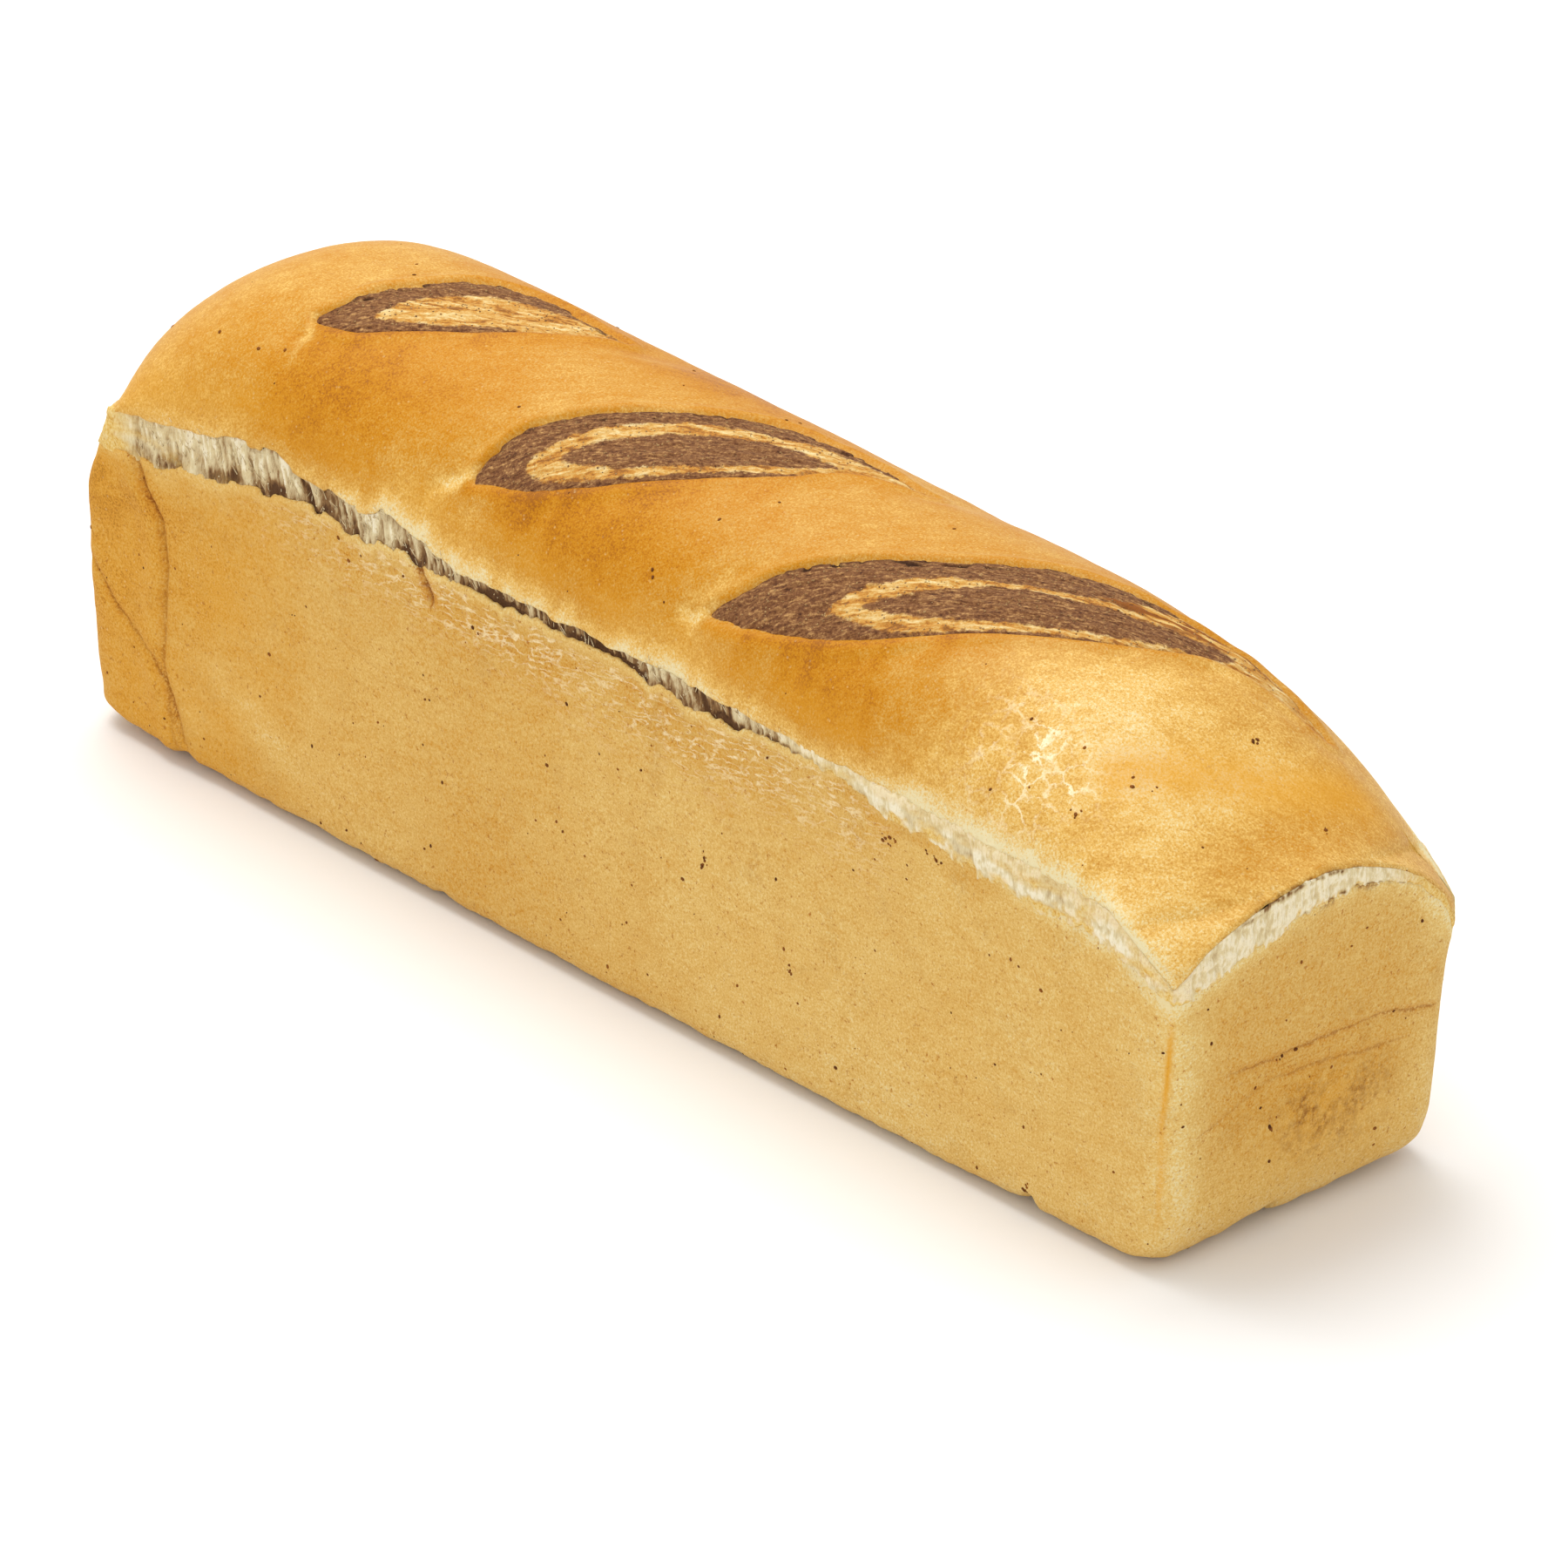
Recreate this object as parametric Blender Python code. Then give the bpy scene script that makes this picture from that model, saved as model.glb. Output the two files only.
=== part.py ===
"""Tin loaf: one long loaf of bread, uncut, baked in an open rectangular tin.

Form: upright walls set by the tin, low corners where the dough did not reach the rim,
a domed top with three slanting slashes, and the split that runs round under the dome.
Lengths are worked out in millimetres and written to the mesh in metres.
Frame: X along the loaf, Z up, the loaf rests on z = 0.
"""
import bmesh
import bpy
import numpy as np

MM = 0.001

# tin-baked walls
HALF_WIDTH = 47.4            # half the width at the rim
SIDE_DRAFT = 0.8             # each long wall leans in by this much at the base
BELLY = 1.8                  # and swells by this much halfway along
HALF_LENGTH = 200.0          # half the length at the rim
RIGHT_DRAFT = 6.0            # the right end leans in by this much at the base
RIGHT_FOOT = 3.0             # extra tuck under the right end, over the last FOOT_HEIGHT
FOOT_HEIGHT = 16.0
LEFT_DRAFT = 2.0             # the left end bulges by this much at half height
LEFT_SET_BACK = 9.5          # the left end steps back by this much above the wall top
BASE_BLEND = 8.0             # blend between walls and base
CORNER_BLEND = 12.0          # blend between long walls and ends

# split line: its height along the long walls, and how far it drops at each corner
SPLIT_HEIGHT = 96.5
CORNER_DROP = {(1, -1): 15.0, (1, 1): 31.0, (-1, -1): 14.0, (-1, 1): 20.0}
DROP_LENGTH = (12.0, 24.0)   # how fast the drop fades along the near and far walls
DROP_WIDTH = (22.0, 20.0)    # how fast it fades across the ends, near and far half
RIGHT_ARCH = 3.0             # the split line arches up by this much over the right end
ARCH_REACH = 15.0
GROOVE_DEPTH = 2.0           # step below the dome where the crumb tore
GROOVE_DROP = 6.0            # middle of the groove below the split line
GROOVE_SPAN = 4.5

# dome: crest heights along the loaf, and the shape of the section and of both ends
CREST_X = (-200.0, -150.0, -75.0, -10.0, 55.0, 120.0, 160.0, 200.0)
CREST_Z = (117.5, 131.5, 134.3, 134.6, 133.2, 131.8, 124.3, 99.5)
SECTION_POWER = 2.3
RISE_POWER = 1.9
LEFT_ROUND = 46.0            # length over which the dome falls to the left end
RIGHT_ROUND = 97.0           # the same on the right, a long low shoulder
LEFT_POWER = 2.1
RIGHT_POWER = 2.1
LEFT_SWEEP = 13.0            # how far the dome's end sweeps back towards its corners
RIGHT_SWEEP = 16.0
END_RISE = 0.07              # share of the rise still left at the very end

# slashes: tips in plan (near tip, far tip), greatest width, depth
SLASHES = (((-135.0, -23.0), (-59.0, 24.0), 25.0),
           ((-58.5, -37.5), (42.0, 24.0), 30.0),
           ((29.5, -40.5), (165.0, 34.0), 33.0))
SLASH_DEPTH = 1.6
LIP_HEIGHT = 0.8             # crust raised along the edge of a slash
VALLEY_DEPTH = 1.5           # hollow that runs on past the tips of a slash

# folds in the base edge: place along the loaf, depth, width
NOTCHES = ((141.0, 3.0, 5.0), (-160.0, 2.0, 8.0), (20.0, 1.5, 9.0))

# mesh: levels over the height follow the split, the rest is even
LEVELS = (0, 5, 12, 22, 34, 46, 58, 68, 76, 82, 86, 90, 94, 98, 104, 112, 120, 128)
CELLS_LONG = 72
CELLS_ACROSS = 14
BOX_HEIGHT = 128.0
ANCHOR_X = 150.0             # points are cast outwards from a small box inside the loaf
ANCHOR_Y = 6.0
ANCHOR_Z = (45.0, 70.0)

CRUST_COLOUR = (0.62, 0.33, 0.10, 1.0)
CRUST_ROUGHNESS = 0.55


def blend_max(a, b, radius):
    """Larger of two fields, with a rounded meeting of about the given radius."""
    return np.maximum(a, b) + np.maximum(radius - np.abs(a - b), 0.0) ** 2 / (4.0 * radius)


def smooth_step(value):
    t = np.clip(value, 0.0, 1.0)
    return t * t * (3.0 - 2.0 * t)


def smooth_curve(x, knots, values):
    """Cubic curve through the knots, with averaged slopes."""
    knots, values = np.asarray(knots), np.asarray(values)
    slope = np.gradient(values, knots)
    i = np.clip(np.searchsorted(knots, x) - 1, 0, len(knots) - 2)
    span = knots[i + 1] - knots[i]
    t = np.clip((x - knots[i]) / span, 0.0, 1.0)
    a, b, c = values[i], slope[i] * span, slope[i + 1] * span
    rise = values[i + 1] - a
    return a + t * b + t * t * (3 * rise - 2 * b - c) + t ** 3 * (b + c - 2 * rise)


def split_height(x, y):
    """Height of the split line, lower at the four corners."""
    along = np.maximum(HALF_LENGTH - np.abs(x), -2.0)
    across = np.maximum(HALF_WIDTH - np.abs(y), -2.0)
    side = 1.0 / (1.0 + np.exp(-y / 6.0))
    length = DROP_LENGTH[0] * (1 - side) + DROP_LENGTH[1] * side
    width = DROP_WIDTH[0] * (1 - side) + DROP_WIDTH[1] * side
    fade = np.exp(-along / length - across / width)
    drop_right = CORNER_DROP[(1, -1)] * (1 - side) + CORNER_DROP[(1, 1)] * side
    drop_left = CORNER_DROP[(-1, -1)] * (1 - side) + CORNER_DROP[(-1, 1)] * side
    arch = np.maximum(1.0 - (y / HALF_WIDTH) ** 2, 0.0) * np.exp(-along / ARCH_REACH)
    arch = np.where(x > 0, RIGHT_ARCH * arch, 0.0)
    return SPLIT_HEIGHT + arch - np.where(x > 0, drop_right, drop_left) * fade


def end_share(x, y):
    """Share of the dome's rise: one in the middle, END_RISE at both rounded ends."""
    length = np.where(x < 0, LEFT_ROUND, RIGHT_ROUND)
    power = np.where(x < 0, LEFT_POWER, RIGHT_POWER)
    sweep = np.where(x < 0, LEFT_SWEEP, RIGHT_SWEEP) * (y / HALF_WIDTH) ** 2
    u = np.clip((np.abs(x) + sweep - (HALF_LENGTH - length)) / length, 0.0, 1.0)
    return END_RISE + (1.0 - END_RISE) * np.sqrt(np.maximum(1.0 - u ** power, 0.0))


def end_wall(x, z):
    """Half length of the wall at height z, for the end that x lies towards."""
    lean = 1.0 - np.clip(z / 90.0, 0.0, 1.1)
    foot = 1.0 - smooth_step(z / FOOT_HEIGHT)
    right = HALF_LENGTH - RIGHT_DRAFT * lean - RIGHT_FOOT * foot
    bulge = LEFT_DRAFT * np.sin(np.pi * np.clip(z, 0.0, 75.0) / 75.0)
    left = HALF_LENGTH + 1.0 + bulge - LEFT_SET_BACK * smooth_step((z - 66.0) / 26.0)
    return np.where(x > 0, right, left)


def loaf_field(p):
    """Signed field of the plain loaf: negative inside, zero on the crust."""
    x, y, z = p[..., 0], p[..., 1], p[..., 2]
    split = split_height(x, y)
    crest = smooth_curve(x, CREST_X, CREST_Z)
    rise = np.maximum(z - split, 0.0) / ((crest - split) * end_share(x, y))
    low = 1.0 - np.clip(z / SPLIT_HEIGHT, 0.0, 1.0)
    half = HALF_WIDTH - SIDE_DRAFT * low + BELLY * low * (1.0 - (x / 205.0) ** 2)
    section = (np.abs(y) / half) ** SECTION_POWER + rise ** RISE_POWER
    sides = (section ** (1.0 / RISE_POWER) - 1.0) * half * 0.8
    ends = np.abs(x) - end_wall(x, z)
    blend = CORNER_BLEND * (1.0 - 0.6 * smooth_step(z / SPLIT_HEIGHT))
    return blend_max(blend_max(sides, ends, blend), -z, BASE_BLEND)


def field_normal(p):
    """Outward direction of the field, by small differences."""
    step = 0.3
    grad = [loaf_field(p + step * e) - loaf_field(p - step * e) for e in np.eye(3)]
    grad = np.stack(grad, -1)
    return grad / np.linalg.norm(grad, axis=-1, keepdims=True)


def slash_place(x, y, slash):
    """Place in a slash: u from 0 to 1 tip to tip, v across in units of its half width."""
    near, far, width = slash
    axis = np.array(far) - np.array(near)
    length = np.hypot(*axis)
    axis = axis / length
    dx, dy = x - near[0], y - near[1]
    u = (dx * axis[0] + dy * axis[1]) / length
    across = -dx * axis[1] + dy * axis[0]
    s = np.clip(u, 0.0, 1.0)
    half = 0.5 * width * (s ** 0.5) * (1.0 - s ** 1.6) ** 0.9 / 0.62
    return u, across, half + 1e-6


def slash_relief(x, y, z):
    """Height change from the slashes: hollow inside, a lip around, valleys past the tips."""
    relief = np.zeros_like(x)
    top = smooth_step((z - 100.0) / 10.0)
    for slash in SLASHES:
        u, across, half = slash_place(x, y, slash)
        width = slash[2]
        inside = (u > 0.0) & (u < 1.0)
        edge = np.where(inside, half - np.abs(across), -width * 0.5)
        hollow = -SLASH_DEPTH * smooth_step(edge / 6.0 + 0.2)
        lip = LIP_HEIGHT * np.exp(-((edge + 2.5) / 3.0) ** 2)
        reach = np.exp(-(np.maximum(np.abs(u - 0.5) - 0.42, 0.0) / 0.16) ** 2)
        ends = smooth_step((np.abs(u - 0.5) - 0.3) / 0.2)
        valley = -VALLEY_DEPTH * reach * ends * np.exp(-(across / (0.35 * width)) ** 2)
        relief += hollow + lip + valley
    return relief * top


def split_relief(x, y, z, normal):
    """Groove under the dome, all round the loaf, fading at the corners."""
    below = split_height(x, y) - z
    upright = 1.0 - smooth_step((np.abs(normal[..., 2]) - 0.55) / 0.3)
    corner = np.hypot(HALF_LENGTH - np.abs(x), HALF_WIDTH - np.abs(y))
    share = upright * smooth_step(corner / 25.0)
    return -GROOVE_DEPTH * np.exp(-((below - GROOVE_DROP) / GROOVE_SPAN) ** 2) * share


def base_relief(x, y, z):
    """Folds in the lower edge of the long walls."""
    relief = np.zeros_like(x)
    outer = smooth_step((np.abs(y) - 32.0) / 10.0)
    for place, depth, width in NOTCHES:
        fold = np.exp(-((x - place) / width) ** 2) * np.exp(-(z / 5.0) ** 2)
        relief -= depth * fold * outer
    return relief


def box_lattice():
    """Corner points and quads of a box surface with shared edges."""
    number, points, quads = {}, [], []
    nx, ny, nz = CELLS_LONG, CELLS_ACROSS, len(LEVELS) - 1

    def corner(i, j, k):
        if (i, j, k) not in number:
            number[(i, j, k)] = len(points)
            points.append((i / nx, j / ny, LEVELS[k] / BOX_HEIGHT))
        return number[(i, j, k)]

    def patch(cells_a, cells_b, place):
        for a in range(cells_a):
            for b in range(cells_b):
                ring = ((a, b), (a + 1, b), (a + 1, b + 1), (a, b + 1))
                quads.append([corner(*place(*ab)) for ab in ring])

    patch(ny, nx, lambda a, b: (b, a, 0))
    patch(nx, ny, lambda a, b: (a, b, nz))
    patch(nx, nz, lambda a, b: (a, 0, b))
    patch(nz, nx, lambda a, b: (b, ny, a))
    patch(nz, ny, lambda a, b: (0, b, a))
    patch(ny, nz, lambda a, b: (nx, a, b))
    return np.array(points), quads


def cast_points(lattice):
    """Move every lattice point on to the plain loaf, outwards from the inner box."""
    outer = (lattice * 2.0 - 1.0) * (HALF_LENGTH, HALF_WIDTH, 1.0)
    outer[:, 2] = lattice[:, 2] * BOX_HEIGHT
    inner = np.stack([np.clip(outer[:, 0], -ANCHOR_X, ANCHOR_X),
                      np.clip(outer[:, 1], -ANCHOR_Y, ANCHOR_Y),
                      np.clip(outer[:, 2], *ANCHOR_Z)], 1)
    low, high = np.zeros(len(outer)), np.full(len(outer), 1.8)
    for _ in range(40):
        middle = 0.5 * (low + high)
        inside = loaf_field(inner + (outer - inner) * middle[:, None]) < 0.0
        low, high = np.where(inside, middle, low), np.where(inside, high, middle)
    return inner + (outer - inner) * low[:, None]


def loaf_points(lattice):
    """Finished points of the loaf in millimetres, resting on z = 0."""
    p = cast_points(lattice)
    normal = field_normal(p)
    x, y, z = p.T
    relief = slash_relief(x, y, z) + split_relief(x, y, z, normal) + base_relief(x, y, z)
    p = p + normal * relief[:, None]
    p[:, 2] = np.where(p[:, 2] < 0.05, 0.0, p[:, 2])
    middle = 0.5 * (p.min(axis=0) + p.max(axis=0))
    return p - (middle[0], middle[1], 0.0)


def crust_material():
    material = bpy.data.materials.new("bread_crust")
    material.use_nodes = True
    shader = material.node_tree.nodes["Principled BSDF"]
    shader.inputs["Base Color"].default_value = CRUST_COLOUR
    shader.inputs["Roughness"].default_value = CRUST_ROUGHNESS
    return material


def build_loaf():
    lattice, quads = box_lattice()
    mesh = bpy.data.meshes.new("loaf")
    mesh.from_pydata((loaf_points(lattice) * MM).tolist(), [], quads)
    bm = bmesh.new()
    bm.from_mesh(mesh)
    bmesh.ops.recalc_face_normals(bm, faces=bm.faces[:])
    bm.to_mesh(mesh)
    bm.free()
    mesh.materials.append(crust_material())
    mesh.update()
    loaf = bpy.data.objects.new("loaf", mesh)
    bpy.context.scene.collection.objects.link(loaf)
    return loaf


for leftover in list(bpy.data.objects):
    bpy.data.objects.remove(leftover, do_unlink=True)
build_loaf()
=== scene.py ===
"""Looks of the tin loaf: baked walls, glazed top crust, torn band, slashes and loose crumb.

Sizes are in millimetres of the real loaf and are scaled from the CAD box of the node "loaf".
The form of the loaf is worked out here by the same rules as its CAD solid.
"""
import bmesh
import bpy
import numpy as np
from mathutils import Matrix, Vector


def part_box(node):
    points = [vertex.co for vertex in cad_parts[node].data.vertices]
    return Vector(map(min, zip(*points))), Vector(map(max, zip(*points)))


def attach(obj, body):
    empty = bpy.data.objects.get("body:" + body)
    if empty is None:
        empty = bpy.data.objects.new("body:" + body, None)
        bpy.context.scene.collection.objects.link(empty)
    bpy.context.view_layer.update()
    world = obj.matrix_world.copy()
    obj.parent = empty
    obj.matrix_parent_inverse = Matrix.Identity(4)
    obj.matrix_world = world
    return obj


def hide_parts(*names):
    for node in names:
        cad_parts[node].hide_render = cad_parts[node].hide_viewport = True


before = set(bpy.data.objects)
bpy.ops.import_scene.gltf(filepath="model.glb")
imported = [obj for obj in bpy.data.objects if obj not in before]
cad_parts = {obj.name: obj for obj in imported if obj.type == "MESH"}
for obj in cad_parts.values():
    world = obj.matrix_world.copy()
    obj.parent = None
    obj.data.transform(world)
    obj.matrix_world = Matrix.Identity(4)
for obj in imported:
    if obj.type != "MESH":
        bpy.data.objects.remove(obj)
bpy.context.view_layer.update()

# ---------------------------------------------------------------------------------------
# Baked walls. The dough filled an open steel tin, so four upright walls and a flat base
# took its shape and baked to a matt, pale gold skin, with folds where the dough had been
# rolled up and a wrinkled strip where the oven spring pulled at the rim.
# ---------------------------------------------------------------------------------------
LENGTH = 403.13                  # of the whole loaf
MIDDLE_X = 1.40                  # the form's own middle lies this far from the box's
box_low, box_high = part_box("loaf")
MM = (box_high.x - box_low.x) / LENGTH
HALF_LENGTH = 200.0
HALF_WIDTH = 47.4
SPLIT_HEIGHT = 96.5
INNER_LENGTH = 150.0             # points are cast outwards from a small box inside the loaf
INNER_WIDTH = 6.0
CREST = ((-200, 117.5), (-150, 131.5), (-75, 134.3), (-10, 134.6),
         (55, 133.2), (120, 131.8), (160, 124.3), (200, 99.5))


def step(start, end, value):
    """Smooth step from 0 at start to 1 at end."""
    t = np.clip((value - start) / (end - start), 0.0, 1.0)
    return t * t * (3.0 - 2.0 * t)


def through(value, knots):
    """Straight runs through knots given as (place, height)."""
    places, heights = np.array(knots, float).T
    return np.interp(value, places, heights)


def curve_through(value, knots):
    """Cubic curve through knots given as (place, height), with averaged slopes."""
    places, heights = np.array(knots, float).T
    slope = np.gradient(heights, places)
    i = np.clip(np.searchsorted(places, value) - 1, 0, len(places) - 2)
    span = places[i + 1] - places[i]
    t = np.clip((value - places[i]) / span, 0.0, 1.0)
    a, b, c = heights[i], slope[i] * span, slope[i + 1] * span
    rise = heights[i + 1] - a
    return a + t * b + t * t * (3 * rise - 2 * b - c) + t ** 3 * (b + c - 2 * rise)


def blend_max(a, b, radius):
    """Larger of two fields, with a rounded meeting."""
    return np.maximum(a, b) + np.maximum(radius - np.abs(a - b), 0.0) ** 2 / (4.0 * radius)


def split_height(x, y):
    """Height of the split line, lower at the four corners."""
    along = np.maximum(HALF_LENGTH - np.abs(x), -2.0)
    across = np.maximum(HALF_WIDTH - np.abs(y), -2.0)
    far = 1.0 / (1.0 + np.exp(-y / 6.0))
    fade = np.exp(-along / (12.0 + 12.0 * far) - across / (22.0 - 2.0 * far))
    drop = np.where(x > 0, 15.0 + 16.0 * far, 14.0 + 6.0 * far)
    arch = 3.0 * np.maximum(1.0 - (y / HALF_WIDTH) ** 2, 0.0) * np.exp(-along / 15.0)
    return SPLIT_HEIGHT + np.where(x > 0, arch, 0.0) - drop * fade


def end_share(x, y):
    """Share of the dome's rise left towards the two rounded ends."""
    right = x > 0
    reach = np.where(right, 97.0, 46.0)
    sweep = np.where(right, 16.0, 13.0) * (y / HALF_WIDTH) ** 2
    u = np.clip((np.abs(x) + sweep - (HALF_LENGTH - reach)) / reach, 0.0, 1.0)
    return 0.07 + 0.93 * np.sqrt(np.maximum(1.0 - u ** 2.1, 0.0))


def end_wall(x, z):
    """Half length of the end wall at height z."""
    lean = 1.0 - np.clip(z / 90.0, 0.0, 1.1)
    right = HALF_LENGTH - 6.0 * lean - 3.0 * (1.0 - step(0.0, 16.0, z))
    bulge = 2.0 * np.sin(np.pi * np.clip(z, 0.0, 75.0) / 75.0)
    left = HALF_LENGTH + 1.0 + bulge - 9.5 * step(66.0, 92.0, z)
    return np.where(x > 0, right, left)


def loaf_field(p):
    """Signed field of the plain loaf in millimetres: zero on the crust, negative inside."""
    x, y, z = p[..., 0] - MIDDLE_X, p[..., 1], p[..., 2]
    split = split_height(x, y)
    rise = np.maximum(z - split, 0.0) / ((curve_through(x, CREST) - split) * end_share(x, y))
    low = 1.0 - np.clip(z / SPLIT_HEIGHT, 0.0, 1.0)
    half = HALF_WIDTH - 0.8 * low + 1.8 * low * (1.0 - (x / 205.0) ** 2)
    section = (np.abs(y) / half) ** 2.3 + rise ** 1.9
    sides = (section ** (1.0 / 1.9) - 1.0) * half * 0.8
    ends = np.abs(x) - end_wall(x, z)
    corner = 12.0 * (1.0 - 0.6 * step(0.0, SPLIT_HEIGHT, z))
    return blend_max(blend_max(sides, ends, corner), -z, 8.0)


def outward(p):
    """Unit direction out of the plain loaf."""
    away = [loaf_field(p + 0.3 * e) - loaf_field(p - 0.3 * e) for e in np.eye(3)]
    away = np.stack(away, -1)
    return away / np.linalg.norm(away, axis=-1, keepdims=True)


def cast(inner, outer):
    """Where the lines from inner to outer points leave the plain loaf."""
    low, high = np.zeros(inner.shape[:-1]), np.full(inner.shape[:-1], 1.8)
    for _ in range(22):
        middle = 0.5 * (low + high)
        inside = loaf_field(inner + (outer - inner) * middle[..., None]) < 0.0
        low, high = np.where(inside, middle, low), np.where(inside, high, middle)
    return inner + (outer - inner) * low[..., None]


def hashed(cell, seed):
    """A repeatable number from 0 to 1 for each whole-number cell."""
    c = cell.astype(np.int64)
    h = c[..., 0] * 374761393 + c[..., 1] * 668265263 + c[..., 2] * 2147483647 + seed * 974711
    h = (h ^ (h >> 13)) * 1274126177
    h = (h ^ (h >> 16)) * 1911520717
    return ((h ^ (h >> 15)) & 0xFFFFF) / float(0xFFFFF)


def grain(p, size, seed):
    """Smooth noise from -1 to 1 whose bumps are about size millimetres (a number or three)."""
    q = p / np.asarray(size, float)
    cell = np.floor(q)
    f = q - cell
    f = f * f * (3.0 - 2.0 * f)
    total = 0.0
    for i in (0, 1):
        for j in (0, 1):
            for k in (0, 1):
                share = (f[..., 0] if i else 1 - f[..., 0]) * (f[..., 1] if j else 1 - f[..., 1])
                share = share * (f[..., 2] if k else 1 - f[..., 2])
                total = total + share * hashed(cell + (i, j, k), seed)
    return 2.0 * total - 1.0


def layered(p, size, seed, layers=3):
    """Noise with finer and finer bumps, each half as strong as the last."""
    size = np.asarray(size, float)
    return sum(grain(p, size / 2 ** n, seed + 17 * n) / 2 ** n for n in range(layers))


def line_distance(a, b, route):
    """Distance of the points (a, b) from a line through the route's points."""
    best = np.full(np.shape(a), 1e9)
    for (a0, b0), (a1, b1) in zip(route[:-1], route[1:]):
        da, db = a1 - a0, b1 - b0
        t = np.clip(((a - a0) * da + (b - b0) * db) / (da * da + db * db), 0.0, 1.0)
        best = np.minimum(best, np.hypot(a - a0 - t * da, b - b0 - t * db))
    return best


def bell(distance, width):
    return np.exp(-(distance / width) ** 2)


# torn band round the loaf: heights of its lower and upper edge along each of the four walls
NEAR_LOW = ((-201, 80), (-178, 81.5), (-164, 83), (-148, 86.5), (-106, 91.5), (-62, 91.8),
            (0, 93), (22, 91), (40, 90.6), (58, 93), (76, 94.2), (92, 91), (118, 88.0),
            (140, 86), (168, 87), (184, 83.5), (203, 76))
NEAR_HIGH = ((-201, 88), (-178, 93.3), (-157, 97), (-137, 101), (-124, 101.6), (-112, 100.2),
             (-92, 99), (-83, 102), (-75, 100.3), (-62, 96), (0, 96.9), (44, 97.2),
             (90, 95.9), (123, 95.2), (177, 94.6), (186, 90), (203, 79.5))
RIGHT_LOW = ((-48, 76), (-30, 81), (-19, 84), (-10, 87), (2, 88.6), (12, 89.4),
             (22, 86.5), (32, 81.5), (40, 74), (48, 61))
RIGHT_HIGH = ((-48, 79.5), (-33, 91), (-20, 95), (-4, 97), (48, 97))
FAR_LOW = ((-201, 71), (-170, 85), (-118, 90), (-40, 92.3), (62, 91), (120, 88.5),
           (165, 84), (203, 67))
FAR_HIGH = ((-201, 78), (-172, 92), (-120, 97.5), (-85, 96), (-40, 98.6), (62, 96.3),
            (118, 97.5), (166, 92.5), (203, 71))
LEFT_LOW = ((-48, 80), (-20, 87.5), (4, 89.6), (28, 86), (48, 71))
LEFT_HIGH = ((-48, 88), (-28, 94.5), (0, 97.2), (26, 94), (48, 78))


def side_share(x, y):
    """How far a point belongs to the near, right, far and left wall."""
    over_x = (np.abs(x) - INNER_LENGTH) / (HALF_LENGTH - INNER_LENGTH)
    over_y = np.abs(y) / HALF_WIDTH
    end = step(-0.03, 0.03, over_x - over_y)
    return (1 - end) * (y < 0), end * (x > 0), (1 - end) * (y >= 0), end * (x <= 0)


def round_the_loaf(x, y, near, right, far, left):
    """Value at a place on the outline from one list of knots for each wall."""
    shares = side_share(x, y)
    values = (through(x, near), through(y, right), through(x, far), through(y, left))
    return sum(share * value for share, value in zip(shares, values))


def torn_low(x, y):
    """Height of the band's lower edge, ragged from long waves down to single tears."""
    place = np.stack([x, y, np.zeros_like(x)], -1)
    height = round_the_loaf(x, y, NEAR_LOW, RIGHT_LOW, FAR_LOW, LEFT_LOW)
    ragged = 0.8 * grain(place, 7.0, 3) + 0.7 * grain(place, 2.6, 5) + 0.5 * grain(place, 1.2, 7)
    ragged += 1.2 * (step(-0.12, 0.12, grain(place, 4.0, 9)) - 0.5) * crisp_tear(x, y)
    return height + ragged * raggedness(x, y)


def torn_high(x, y):
    """Height of the band's upper edge, where the dome's crust lets go."""
    place = np.stack([x, y, np.zeros_like(x)], -1)
    height = round_the_loaf(x, y, NEAR_HIGH, RIGHT_HIGH, FAR_HIGH, LEFT_HIGH)
    rim = split_height(x, y) - 0.4
    height = np.where(np.abs(x) > HALF_LENGTH - 1.0, np.minimum(height, rim), height)
    ragged = 0.7 * grain(place, 9.0, 13) + 0.45 * grain(place, 3.2, 15) + 0.2 * grain(place, 1.4, 17)
    ragged += 1.1 * (step(-0.1, 0.1, grain(place, 6.0, 19)) - 0.5) * crisp_tear(x, y)
    return height + ragged * raggedness(x, y)


def crisp_tear(x, y):
    """Where the skin tore in sharp tabs; further along it stretched into a soft roll."""
    near = step(-150, -138, x) * step(62, 40, x) * (0.45 + 0.55 * step(-60, -85, x))
    return np.where(y < 0, near, step(-130, -110, x) * step(90, 70, x))


def raggedness(x, y):
    """The tear is ragged along the walls and closes softly at the corners."""
    corner = np.hypot(HALF_LENGTH - np.abs(x), HALF_WIDTH - np.abs(y))
    wall = np.where(np.abs(x) > HALF_LENGTH - 1.0, 0.35, 1.0)
    return (0.2 + 0.8 * step(8.0, 30.0, corner)) * wall


def outline_columns(near, right, far, left):
    """Places round the outer rectangle, so many cells on each wall, as (x, y)."""
    def run(start, end, cells):
        return np.linspace(start, end, cells, endpoint=False)
    full = np.ones
    x = np.concatenate([run(-HALF_LENGTH, HALF_LENGTH, near), HALF_LENGTH * full(right),
                        run(HALF_LENGTH, -HALF_LENGTH, far), -HALF_LENGTH * full(left)])
    y = np.concatenate([-HALF_WIDTH * full(near), run(-HALF_WIDTH, HALF_WIDTH, right),
                        HALF_WIDTH * full(far), run(HALF_WIDTH, -HALF_WIDTH, left)])
    return x, y


def slow_waves(p):
    """Slow unevenness of the whole loaf, in millimetres; every piece follows it."""
    return 0.55 * grain(p, 60.0, 21) + 0.35 * grain(p, 24.0, 22)


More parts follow.
